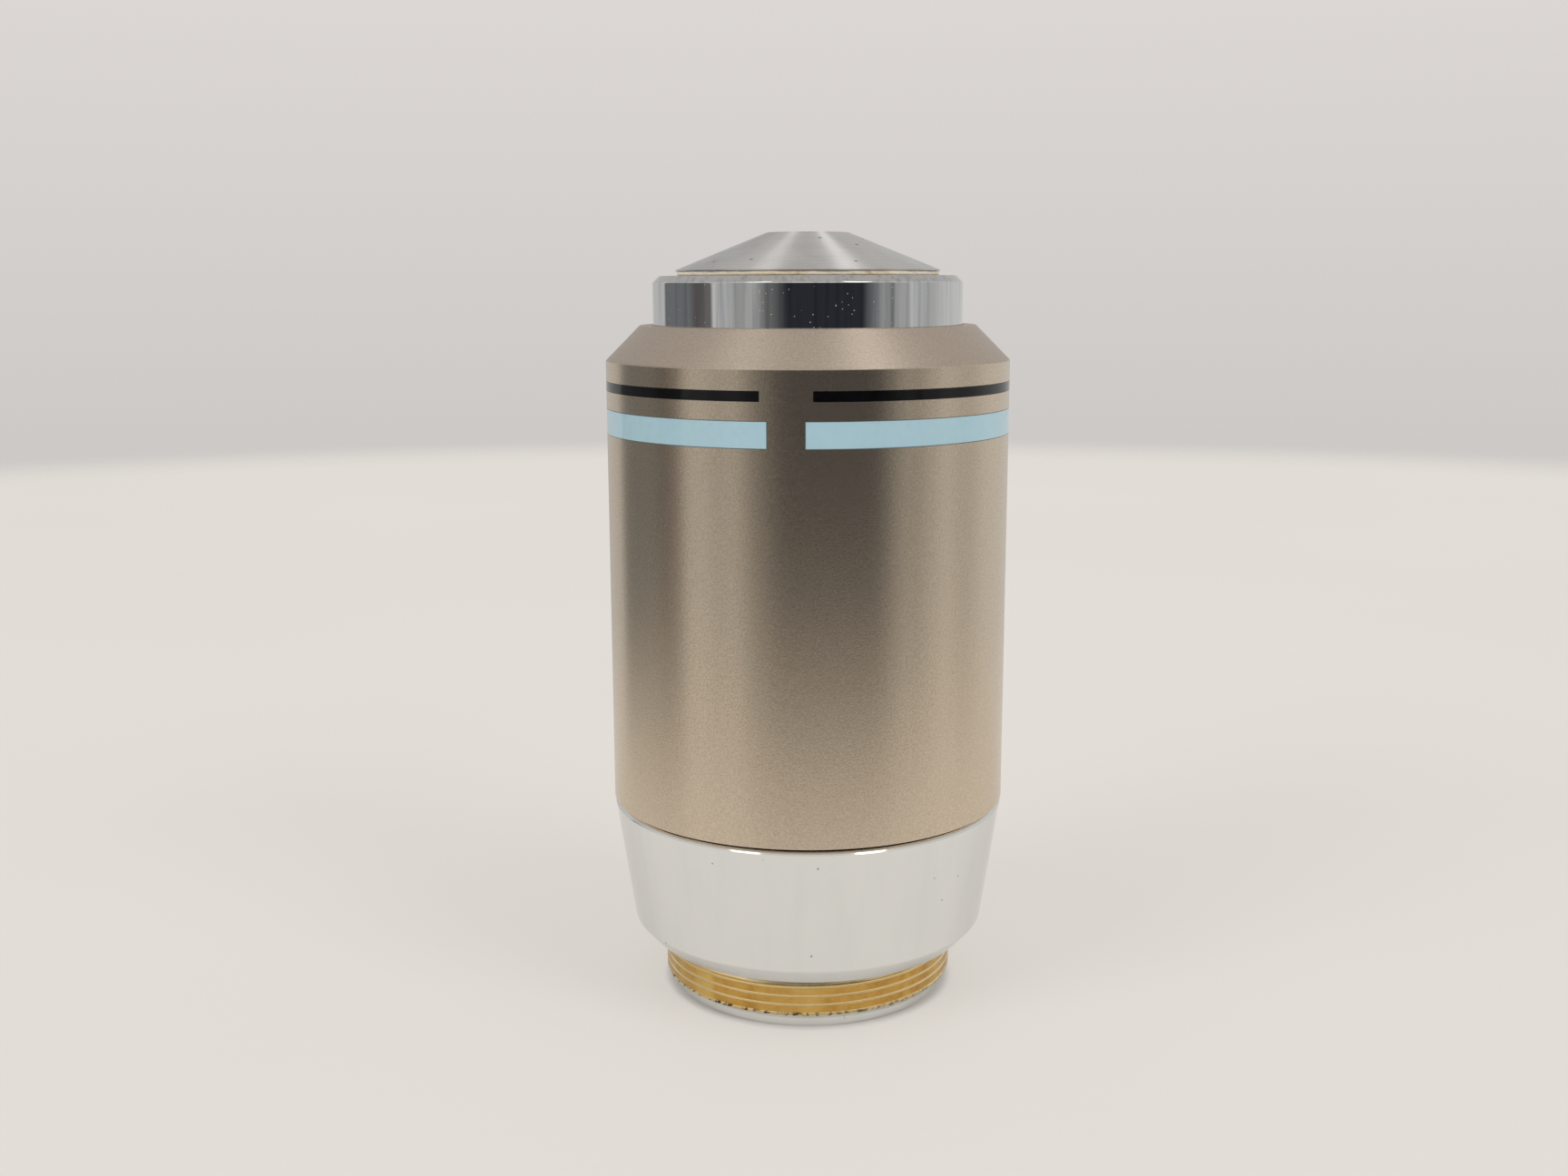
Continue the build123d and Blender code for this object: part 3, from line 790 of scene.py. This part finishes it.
@dataclass
class MountingBase:
    """The chrome-plated base: pilot, cut thread, shoulder, tapered skirt and the spigot inside the sleeve."""

    port_r: float = 10.8
    pilot_r: float = PILOT_R
    thread_r: float = THREAD_R
    sleeve_foot: float = SLEEVE_FOOT
    pilot_top: float = 0.75
    pilot_chamfer: float = 0.2
    core_relief: float = 0.05
    thread_depth: float = 0.14
    pitch: float = 0.75
    flank_parts: tuple[int, int] = (40, 6)
    flank_steps: int = 3
    thread_turns: int = 7
    thread_steps: int = 192
    lead_in: float = 1.1
    first_crest: float = 0.441
    run_out: Pair = (4.05, 4.3)
    crest_wear: float = 0.008
    shoulder_r: float = 13.74
    shoulder: float = 4.65
    skirt_low: Pair = (15.1, 6.15)
    skirt_top: Pair = (16.7, 16.70)
    crown_r: float = 1.4
    crown_tilts: tuple[int, ...] = (38, 44, 50, 56)
    shadow_r: float = 16.1
    spigot: Pair = (15.43, 19.92)
    pocket: Pair = (13.52, 8.8)
    skirt_ease: float = 0.10
    foot_ease: float = 0.06
    crease: float = 20.0
    segments: int = 240

    def section(self) -> Section:
        """The section of the base, with a plain core where the thread is.

        Returns:
            The section's points.
        """
        core_r = self.pilot_r - self.core_relief
        return [
            (self.port_r, 0),
            (self.pilot_r - self.pilot_chamfer, 0),
            (self.pilot_r, self.pilot_chamfer),
            (self.pilot_r, self.pilot_top),
            (core_r, self.pilot_top),
            (core_r, self.shoulder),
            (self.shoulder_r, self.shoulder),
            self.skirt_low,
            *self.crown(),
            (self.shadow_r, self.skirt_top[1]),
            (self.shadow_r, self.sleeve_foot),
            (self.spigot[0], self.sleeve_foot),
            self.spigot,
            (self.pocket[0], self.spigot[1]),
            self.pocket,
            (self.port_r, self.pocket[1]),
        ]

    def crown(self) -> Section:
        """The polished break along the skirt's top edge, which curves in from the taper to the top.

        Returns:
            The arc's points, from the taper up.
        """
        tilts = [radians(tilt) for tilt in self.crown_tilts]
        drop = self.crown_r * (sin(tilts[-1]) - sin(tilts[0]))
        taper = (self.skirt_top[0] - self.skirt_low[0]) / (self.skirt_top[1] - self.skirt_low[1])
        centre_r = self.skirt_top[0] - drop * taper - self.crown_r * cos(tilts[0])
        centre_z = self.skirt_top[1] - drop - self.crown_r * sin(tilts[0])
        return [(centre_r + self.crown_r * cos(tilt), centre_z + self.crown_r * sin(tilt)) for tilt in tilts]

    def profile(self) -> Section:
        """One turn of the thread from root to root: a wide flat crest between narrow grooves.

        Returns:
            Points of (radius, height above the start).
        """
        root = self.thread_r - self.thread_depth
        # A flank rises from a fortieth to a sixth of the pitch
        start, end = (self.pitch / part for part in self.flank_parts)
        rises = [step / self.flank_steps for step in range(self.flank_steps + 1)]
        flank = [(root + self.thread_depth * rise, start + (end - start) * rise) for rise in rises]
        return [(root, 0), *flank, *((radius, self.pitch - height) for radius, height in reversed(flank))]

    def trim(self, angle: float, radius: float, height: float) -> Pair:
        """Where a point of the thread goes when its lead-in and its run-out are cut.

        Args:
            angle: The point's angle round the axis, in radians.
            radius: Its radius.
            height: Its height.

        Returns:
            Its new radius and height.
        """
        start, end = self.run_out
        fade = min(1.0, max(0.0, (height - start) / (end - start)))
        relief_r = self.thread_r - self.thread_depth * fade
        rise = (height - self.pilot_top) / (self.lead_in - self.pilot_top)
        lead_r = self.pilot_r + (self.thread_r - self.pilot_r) * rise
        # Hand-worn crests wander by a hundredth of a millimetre
        wave = sin(angle * 17 + height * 9) * sin(angle * 5 - height * 4)
        worn_r = self.thread_r - self.crest_wear * (1 + wave)
        return min(radius, relief_r, lead_r, worn_r), height

    def cut_thread(self) -> bpy.types.Object:
        """Model the thread by screwing its profile up the axis and cutting off both ends.

        Returns:
            The thread's skin, in millimetres.
        """
        (radius, height), *others = self.profile()
        bpy.ops.object.select_all(action="DESELECT")
        bpy.ops.mesh.primitive_plane_add(size=1, location=(radius, 0, self.first_crest - self.pitch / 2))
        thread = Lathe.take("cut_thread")
        bpy.ops.object.mode_set(mode="EDIT")
        bpy.ops.mesh.select_mode(type="VERT")
        bpy.ops.mesh.select_all(action="SELECT")
        bpy.ops.mesh.merge(type="CENTER")
        for next_radius, next_height in [*others, (radius, self.pitch)]:
            step = (next_radius - radius, 0, next_height - height)
            bpy.ops.mesh.extrude_vertices_move(TRANSFORM_OT_translate={"value": step})
            radius, height = next_radius, next_height
        bpy.ops.object.mode_set(mode="OBJECT")
        Lathe.wind(thread, self.pitch, self.thread_turns, self.thread_steps)
        bpy.ops.object.mode_set(mode="EDIT")
        Lathe.weld()
        Lathe.part_off(self.pilot_top, self.shoulder, near=1e-5, capped=False)
        Lathe.close()
        Lathe.shape(thread, self.trim)
        return thread

    def build(self) -> None:
        """Model and dress the base."""
        base = Lathe.turn("plated_base", self.section(), self.segments)
        Lathe.ease(base, [(self.shoulder_r, self.shoulder), self.skirt_low], self.skirt_ease)
        Lathe.ease(base, [(self.pilot_r, self.pilot_chamfer), (self.port_r, 0)], self.foot_ease, 2)
        thread = self.cut_thread()
        bpy.ops.object.select_all(action="DESELECT")
        thread.select_set(True)
        base.select_set(True)
        bpy.context.view_layer.objects.active = base
        bpy.ops.object.join()
        Lathe.hand_over(base, PlatedBrass(), Body.BARREL, Slot.PLATED_BASE, "mounting_base", self.crease)


@dataclass
class OuterSleeve:
    """The satin sleeve with its conical shoulder, and the two enamel bands laid on it."""

    wall_r: float = 16.735
    bore_r: float = 15.45
    foot: float = SLEEVE_FOOT
    edge: float = SHOULDER_EDGE
    band_r: float = BAND_R
    rim: Pair = (13.9, 56.77)
    mouth_r: float = 12.95
    wall: float = 1.3
    edge_ease: float = 0.11
    foot_ease: float = 0.05
    mouth_ease: float = 0.12
    band_depth: float = 0.06
    black_band: Triple = (51.52, 52.32, 13.8)
    blue_band: Triple = (48.00, 50.10, 9.7)
    segments: int = 224

    def build_sleeve(self) -> None:
        """Model and dress the sleeve, whose shoulder keeps the wall's thickness."""
        # The shoulder slopes at 45 degrees
        inner_edge = self.edge - self.wall * tan(radians(45 / 2))
        section = [
            (self.bore_r, self.foot),
            (self.wall_r, self.foot),
            (self.wall_r, self.edge),
            self.rim,
            (self.mouth_r, self.rim[1]),
            (self.mouth_r, inner_edge + self.bore_r - self.mouth_r),
            (self.bore_r, inner_edge),
        ]
        sleeve = Lathe.turn("satin_sleeve", section, self.segments)
        Lathe.ease(sleeve, [(self.wall_r, self.edge)], self.edge_ease)
        Lathe.ease(sleeve, [(self.wall_r, self.foot), self.rim], self.foot_ease)
        Lathe.ease(sleeve, [(self.mouth_r, self.rim[1])], self.mouth_ease)
        Lathe.hand_over(sleeve, BlastedBronze(), Body.BARREL, Slot.SATIN_BRONZE, "outer_sleeve")

    def build_band(self, name: str, finish: BandEnamel, slot: Slot, node: str) -> None:
        """Model and dress one enamel band by spinning its section round to the far side of the gap.

        Args:
            name: The piece's name.
            finish: Its finish, which holds its low edge, its high edge and its gap in degrees.
            slot: Its material slot in the record.
            node: The CAD node it stands for.
        """
        low, high, gap = finish.band
        bpy.ops.object.select_all(action="DESELECT")
        bpy.ops.mesh.primitive_plane_add(size=1, rotation=(pi / 2, 0, 0))
        piece = bpy.context.object
        piece.scale = (self.band_depth, high - low, 1)
        piece.location = (self.band_r - self.band_depth / 2, 0, (low + high) / 2)
        Lathe.take(name)
        piece.data.transform(Matrix.Rotation(radians(-gap / 2 - 90), 4, "Z"))
        bpy.ops.object.mode_set(mode="EDIT")
        bpy.ops.mesh.select_all(action="SELECT")
        bpy.ops.mesh.spin(steps=self.segments, angle=tau - radians(gap), center=(0, 0, 0), axis=(0, 0, 1))
        Lathe.weld()
        Lathe.close()
        Lathe.hand_over(piece, finish, Body.BARREL, slot, node)

    def build_bands(self) -> None:
        """Model and dress both bands."""
        black = BandEnamel(
            name="black_baked_enamel",
            tint="#0C0C0E",
            shade="#080809",
            edge_shade="#080809",
            band=self.black_band,
            roughness=0.10,
            ior=1.38,
        )
        self.build_band("black_band", black, Slot.BLACK_ENAMEL, "immersion_band")
        blue = BandEnamel(
            name="light_blue_baked_enamel",
            tint="#AFCFDB",
            shade="#ACCCD8",
            edge_shade="#566060",
            band=self.blue_band,
            roughness=0.06,
            ior=1.58,
        )
        self.build_band("blue_band", blue, Slot.LIGHT_BLUE_ENAMEL, "magnification_band")


@dataclass
class Nose:
    """What shows of the sliding nose: chrome ring, sealing bead and turned cone."""

    ring_r: float = 12.8
    ring_low: float = 51.47
    ring_top: float = RING_TOP
    ring_chamfer: float = RING_CHAMFER
    ring_ease: float = 0.06
    ring_foot_ease: float = 0.15
    barrel_r: float = 10.52
    barrel_top: float = 58.87
    spigot_r: float = 9.5
    spigot_gap: float = 0.02
    cone_r: float = 10.9
    cone_low: float = 61.12
    cone_land: float = 0.1
    cone_ease: float = 0.06
    cone_crease: float = 18.0
    tip: Pair = (3.4, 64.24)
    tip_ease: float = 0.05
    lens_face_r: float = 1.52
    lens_r: float = 3.62
    lens_bevel: float = 62.94
    cell: Pair = (6.52, 60.82)
    seat: float = 56.1
    bead_r: float = 10.85
    bead_bulge: float = 0.16
    bead_held: float = 0.6
    bead_lump: float = 0.10
    bead_shrink: float = 0.04
    bead_crease: float = 60.0
    bead_segments: int = 288
    segments: int = 224

    def build_ring(self) -> None:
        """Model and dress the chrome ring."""
        seat_r = self.spigot_r + self.spigot_gap
        section = [
            (self.barrel_r, self.ring_low),
            (self.ring_r, self.ring_low),
            (self.ring_r, self.ring_top - self.ring_chamfer),
            (self.ring_r - self.ring_chamfer, self.ring_top),
            (seat_r, self.ring_top),
            (seat_r, self.barrel_top),
            (self.barrel_r, self.barrel_top),
        ]
        ring = Lathe.turn("chrome_front_ring", section, self.segments)
        Lathe.ease(ring, section[2:3], self.ring_ease, 4)
        Lathe.ease(ring, section[1:2], self.ring_foot_ease, 2)
        Lathe.hand_over(ring, PolishedChrome(), Body.NOSE, Slot.BRIGHT_CHROME, "front_ring")

    def build_cone(self) -> None:
        """Model and dress the cone."""
        section = [
            (self.cell[0], self.seat),
            (self.spigot_r, self.seat),
            (self.spigot_r, self.cone_low),
            (self.cone_r, self.cone_low),
            (self.cone_r, self.cone_low + self.cone_land),
            self.tip,
            (self.lens_face_r, self.tip[1]),
            (self.lens_r, self.lens_bevel),
            (self.lens_r, self.cell[1]),
            self.cell,
        ]
        cone = Lathe.turn("turned_nose_cone", section, self.segments)
        Lathe.ease(cone, section[4:6], self.cone_ease)
        Lathe.ease(cone, section[6:7], self.tip_ease, 2)
        Lathe.hand_over(cone, TurnedNickel(), Body.NOSE, Slot.TURNED_NICKEL, "nose_cone", self.cone_crease)

    def sag(self, angle: float, radius: float, height: float) -> Pair:
        """Where a point of the bead goes when its outer side is made uneven.

        Args:
            angle: The point's angle round the axis, in radians.
            radius: Its radius.
            height: Its height.

        Returns:
            Its new radius and height.
        """
        out = max(0.0, radius - self.spigot_r - self.bead_held)
        # Long, middling and short lumps round the bead, which on the whole has shrunk a little
        lump = sin(angle * 7 + 1.3) * 0.5 + sin(angle * 19 + 4.0) * 0.3 + sin(angle * 43 + height * 7) * 0.2
        return radius + out * (self.bead_lump * lump - self.bead_shrink), height

    def build_bead(self) -> None:
        """Model and dress the sealing bead that fills the joint under the cone."""
        low, high = self.ring_top, self.cone_low
        seat_r = self.spigot_r + self.spigot_gap
        bulge = [
            (
                self.bead_r - self.bead_bulge * (1 - cos(turn)),
                (low + high) / 2 + (high - low) / 2 * sin(turn),
            )
            for turn in map(radians, range(-90, 91, 18))
        ]
        bead = Lathe.turn("sealing_bead", [(seat_r, low), *bulge, (seat_r, high)], self.bead_segments)
        Lathe.shape(bead, self.sag)
        Lathe.hand_over(bead, AgedSealant(), Body.NOSE, Slot.AGED_SEALANT, "nose_seal", self.bead_crease)


@dataclass
class ReturnSpring:
    """The coil that pushes the nose out, which shortens as the nose goes in."""

    coil_r: float = 11.4
    wire_r: float = 0.5
    wire_sides: int = 16
    low: float = 12.3
    high: float = 30.97
    coils: int = 7
    coil_steps: int = 48
    stroke: float = 2.0

    def build(self) -> None:
        """Model the coil with a screw, grind its ends flat and dress it."""
        bpy.ops.object.select_all(action="DESELECT")
        bpy.ops.mesh.primitive_circle_add(
            vertices=self.wire_sides,
            radius=self.wire_r,
            location=(self.coil_r, 0, self.low),
            rotation=(pi / 2, 0, 0),
        )
        piece = Lathe.take("coil_spring")
        length = self.high - self.low
        Lathe.wind(piece, length / self.coils, self.coils, self.coil_steps)
        bpy.ops.object.mode_set(mode="EDIT")
        Lathe.part_off(self.low, self.high, near=1e-4, capped=True)
        Lathe.weld()
        bpy.ops.mesh.fill_holes(sides=0)
        Lathe.close()
        steel = MachinedMetal("drawn_spring_steel", "#A9AAAC", "#838487", 0.28)
        Lathe.hand_over(piece, steel, Body.BARREL, Slot.SPRING_STEEL, "return_spring")
        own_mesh(piece)


@dataclass
class InnerWorks:
    """The pieces inside, which keep their CAD shapes."""

    black: tuple[str, ...] = (
        *("lens_barrel", "second_cell", "third_cell", "front_spacer", "fourth_cell"),
        *("aperture_stop", "fifth_cell", "rear_spacer", "rear_cell", "retaining_ring"),
    )
    brass: tuple[str, ...] = ("body_tube", "spring_nut")
    steel: tuple[str, ...] = ("thrust_ring", "guide_screw")
    glass: tuple[str, ...] = (
        *("front_lens", "front_meniscus", "second_lens", "third_crown_lens", "third_flint_lens"),
        *("fourth_upper_lens", "fourth_middle_lens", "fourth_lower_lens"),
        *("fifth_crown_lens", "fifth_flint_lens", "rear_negative_lens", "rear_positive_lens"),
    )

    def dress(self, nodes: dict[str, bpy.types.Object]) -> None:
        """Give each CAD node its finish.

        Args:
            nodes: The frame's nodes by name.
        """
        finishes: tuple[tuple[tuple[str, ...], Finish], ...] = (
            (self.black, MachinedMetal("blackened_brass", "#2A2826", "#191817", 0.42)),
            (self.brass, MachinedMetal("bare_turned_brass", "#C9A869", "#AD8A4C", 0.34)),
            (self.steel, MachinedMetal("ground_steel", "#B4B5B6", "#8E8F91", 0.26)),
            (self.glass, OpticalGlass()),
        )
        for names, finish in finishes:
            for name in names:
                mesh = nodes[name].data
                mesh.materials.clear()
                mesh.materials.append(finish.material())
            LOG.info("%s: %d CAD nodes", finish.name, len(names))


@dataclass(frozen=True)
class PaleTable(Finish):
    """A white laminate table top, pale and dull, that fades out towards its far edge.

    It glows a little for the eye, which keeps it pale and its shadows soft. Reflections see a smaller table,
    so that metal shows the room beyond it.
    """

    name: str = "pale_table_top"
    tint: str = "#E5E1DB"
    shade: str = "#E0DCD6"
    glow: str = "#E6E1DA"
    glow_share: float = 0.6
    mirrored_share: float = 0.35
    fade: Pair = (430.0, 520.0)
    mirrored_fade: Pair = (45.0, 190.0)
    foot: Pair = (PILOT_R, 12.9)
    mirrored_foot: Pair = (PILOT_R, 13.7)
    roughness: float = 0.6
    specular: float = 0.2

    def lay(self, tree: NodeTree, place: Socket) -> Inputs:
        """Add the finish's nodes, which also mix the shader with the glow.

        Args:
            tree: The node tree.
            place: The piece's own coordinates.

        Returns:
            What goes to the shader's inputs.
        """
        add = partial(add_node, tree)
        reach = add("VectorMath", place, operation="LENGTH")
        soft_step = partial(add, "MapRange", reach, interpolation_type="SMOOTHSTEP")
        path = add("LightPath").outputs
        solid, mirrored = [soft_step(far * MM, near * MM) for near, far in (self.fade, self.mirrored_fade)]
        shown = add("Mix", path["Is Glossy Ray"], solid, mirrored, data_type="FLOAT")

        # The glow stops short of the foot, which leaves the object's own shadow where it stands
        share = 0.0
        for ray, part, (near, far) in (
            ("Is Camera Ray", self.glow_share, self.foot),
            ("Is Glossy Ray", self.mirrored_share, self.mirrored_foot),
            ("Is Transmission Ray", self.mirrored_share, self.mirrored_foot),
        ):
            clear_of_foot = soft_step(near * MM, far * MM, 0.0, part)
            seen = add("Math", path[ray], clear_of_foot, operation="MULTIPLY")
            share = add("Math", share, seen, operation="MAXIMUM")
        glow = add("Emission", linear(self.glow), 1.0)
        top = add("MixShader", share, tree.nodes["Principled BSDF"], glow)
        faded = add("MixShader", shown, add("BsdfTransparent"), top)
        connect(tree, tree.nodes["Material Output"].inputs["Surface"], faded)
        cloud = add("TexNoise", place, per_metre(120.0), 3.0)
        return {
            "Base Color": add("ValToRGB", cloud, stops=[(0.35, self.shade), (0.65, self.tint)]),
            "Roughness": self.roughness,
            "Specular IOR Level": self.specular,
        }


@dataclass(frozen=True)
class WallPanel:
    """One stretch of the room's walls, by its angles from the camera's side, in degrees to the right."""

    name: str
    start: float
    end: float
    tone: str


@dataclass(frozen=True)
class LampRow:
    """A left and a right ceiling lamp: places across and back, length, and the power of each."""

    name: str
    across: float
    back: float
    length: float
    powers: Pair


@dataclass
class Studio:
    """The table, the room that the metal mirrors, two rows of ceiling lamps and two soft lamps."""

    table_r: float = 530.0
    table_sides: int = 128
    lamp_height: float = 900.0
    lamp_width: float = 230.0
    lamp_splay: float = 21.0
    lamp_rows: tuple[LampRow, ...] = (
        LampRow("front_lamp", 418.0, -267.0, 522.0, (0.42, 0.76)),
        LampRow("back_lamp", 182.0, 349.0, 300.0, (0.08, 0.12)),
    )
    fill_distance: float = 900.0
    fill_spread: float = 52.0
    fill_angle: float = 30.0
    fill_rise: float = 28.0
    fill_strength: float = 0.97
    camera_turn: float = CAMERA_TURN
    wall_high: str = "#DCD7D4"
    wall_low: str = "#CDC9C6"
    wall_rise: Pair = (-0.09, 0.16)
    ceiling: str = "#CBCAC9"
    ceiling_rise: Pair = (0.14, 0.60)
    overhead: str = "#CDCBC8"
    overhead_rise: Pair = (0.60, 0.92)
    panels: tuple[WallPanel, ...] = (
        WallPanel("back wall, left half", -180, -131, "#C2C1BF"),
        WallPanel("grey cupboard", -128, -95, "#727475"),
        WallPanel("cupboard's shaded side", -89, -86, "#5D5957"),
        WallPanel("cupboard's end", -79, -74, "#6F6C6A"),
        WallPanel("left window frame", -72.5, -71, "#CFCECC"),
        WallPanel("left window", -69.5, -58, "#BAB9B7"),
        WallPanel("window bar", -53, -51, "#A1A09E"),
        WallPanel("narrow pane", -43, -40, "#B2B1AF"),
        WallPanel("dim corner", -30, -28, "#737371"),
        WallPanel("dark room behind the camera", -14, 40, "#2E2F35"),
        WallPanel("right window, first pane", 57, 61, "#A0A09E"),
        WallPanel("window bar", 63, 64.5, "#7A7A79"),
        WallPanel("right window, second pane", 67, 76, "#ADACAA"),
        WallPanel("bright curtain", 80, 86, "#C6C5C3"),
        WallPanel("right wall", 93, 104, "#B5B4B2"),
        WallPanel("back wall, right half", 118, 180, "#CDCCCA"),
    )

    def lay_table(self) -> None:
        """Add the table top."""
        bpy.ops.object.select_all(action="DESELECT")
        bpy.ops.mesh.primitive_circle_add(
            vertices=self.table_sides, radius=self.table_r * MM, fill_type="NGON"
        )
        table = bpy.context.object
        table.name = "table_top"
        table.data.materials.append(PaleTable().material())

    def hang_lamps(self) -> None:
        """Hang the rows of long soft lamps overhead, splayed towards the camera."""
        turn = Matrix.Rotation(radians(self.camera_turn), 3, "Z")
        for row in self.lamp_rows:
            for side, power in zip((-1, 1), row.powers):
                light = bpy.data.lights.new(f"{row.name}_{side}", "AREA")
                light.shape = "RECTANGLE"
                light.size = self.lamp_width * MM
                light.size_y = row.length * MM
                light.energy = power
                lamp = bpy.data.objects.new(light.name, light)
                lamp.location = turn @ Vector((side * row.across, row.back, self.lamp_height)) * MM
                lamp.rotation_euler = (0, 0, radians(self.camera_turn + side * self.lamp_splay))
                bpy.context.scene.collection.objects.link(lamp)

    def add_fill(self) -> None:
        """Add a soft lamp on each side of the camera that lifts the paint and isn't mirrored in the metal."""
        rise = radians(self.fill_rise)
        for side in (-1, 1):
            light = bpy.data.lights.new(f"fill_{side}", "SUN")
            light.energy = self.fill_strength
            light.angle = radians(self.fill_angle)
            lamp = bpy.data.objects.new(light.name, light)
            turn = radians(self.camera_turn + side * self.fill_spread)
            away = Vector((sin(turn) * cos(rise), -cos(turn) * cos(rise), sin(rise)))
            lamp.location = away * self.fill_distance * MM
            lamp.rotation_euler = away.to_track_quat("Z", "Y").to_euler()
            lamp.visible_glossy = False
            bpy.context.scene.collection.objects.link(lamp)

    def light_room(self) -> None:
        """Make a pale room that is darker behind the camera, with a plain wall for the camera to see."""
        world = bpy.data.worlds.new("room")
        world.use_nodes = True
        world.node_tree.nodes.clear()
        add = partial(add_node, world.node_tree)
        axes = add("SeparateXYZ", add("TexCoord").outputs["Generated"])
        height = axes.outputs["Z"]
        back = add("Math", axes.outputs["Y"], -1.0, operation="MULTIPLY")
        turn = add("Math", axes.outputs["X"], back, operation="ARCTAN2")
        ahead = radians(self.camera_turn)
        share = add("MapRange", turn, ahead - pi, ahead + pi, clamp=False)
        wrapped = add("Math", share, 1.0, operation="FLOORED_MODULO")
        # Each panel holds its tone from its start to its end and blends into the next one
        stops = [(0.5 + edge / 360, panel.tone) for panel in self.panels for edge in (panel.start, panel.end)]
        room = add("ValToRGB", wrapped, stops=stops)
        for rise, tone in ((self.ceiling_rise, self.ceiling), (self.overhead_rise, self.overhead)):
            up = add("MapRange", height, *rise, interpolation_type="SMOOTHSTEP")
            room = add("Mix", up, room, linear(tone), data_type="RGBA")
        wall_share = add("MapRange", height, *self.wall_rise)
        wall = add("Mix", wall_share, linear(self.wall_low), linear(self.wall_high), data_type="RGBA")
        # The eye, and glass, see the plain wall all round. Metal mirrors the room
        path = add("LightPath").outputs
        direct = add("Math", path["Is Camera Ray"], path["Is Transmission Ray"], operation="MAXIMUM")
        mixed = add("MixShader", direct, add("Background", room, 1.0), add("Background", wall, 1.0))
        add("OutputWorld", mixed)
        bpy.context.scene.world = world


@dataclass
class PhotoCamera:
    """The camera at the photograph's place, in millimetres, degrees and pixels of a 1728 wide image."""

    image_width: int = 1728
    focal: float = 1814.2
    distance: float = 138.49
    height: float = 60.15
    pitch: float = 10.489
    swing: float = 0.834
    roll: float = 0.157
    turn: float = CAMERA_TURN
    sensor_width: float = 36.0
    clip: Pair = (5.0, 20000.0)

    def place(self) -> None:
        """Add the camera and make it the scene's own."""
        data = bpy.data.cameras.new("photo_camera")
        data.sensor_width = self.sensor_width
        data.lens = self.focal * self.sensor_width / self.image_width
        data.clip_start, data.clip_end = (distance * MM for distance in self.clip)
        camera = bpy.data.objects.new(data.name, data)
        turn = radians(self.turn)
        camera.location = Vector((sin(turn) * self.distance, -cos(turn) * self.distance, self.height)) * MM
        aim = Euler((radians(90 - self.pitch), 0, turn + radians(self.swing))).to_matrix()
        camera.rotation_euler = (aim @ Matrix.Rotation(-radians(self.roll), 3, "Z")).to_euler()
        bpy.context.scene.collection.objects.link(camera)
        bpy.context.scene.camera = camera


def main() -> None:
    logging.basicConfig(level=logging.INFO, format="%(name)s: %(message)s")
    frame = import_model()
    MountingBase().build()
    sleeve = OuterSleeve()
    sleeve.build_sleeve()
    sleeve.build_bands()
    nose = Nose()
    nose.build_ring()
    nose.build_bead()
    nose.build_cone()
    ReturnSpring().build()
    InnerWorks().dress(frame["nodes"])
    studio = Studio()
    studio.lay_table()
    studio.hang_lamps()
    studio.add_fill()
    studio.light_room()
    PhotoCamera().place()
    bpy.context.scene.view_settings.view_transform = "Standard"


if __name__ == "__main__":
    main()
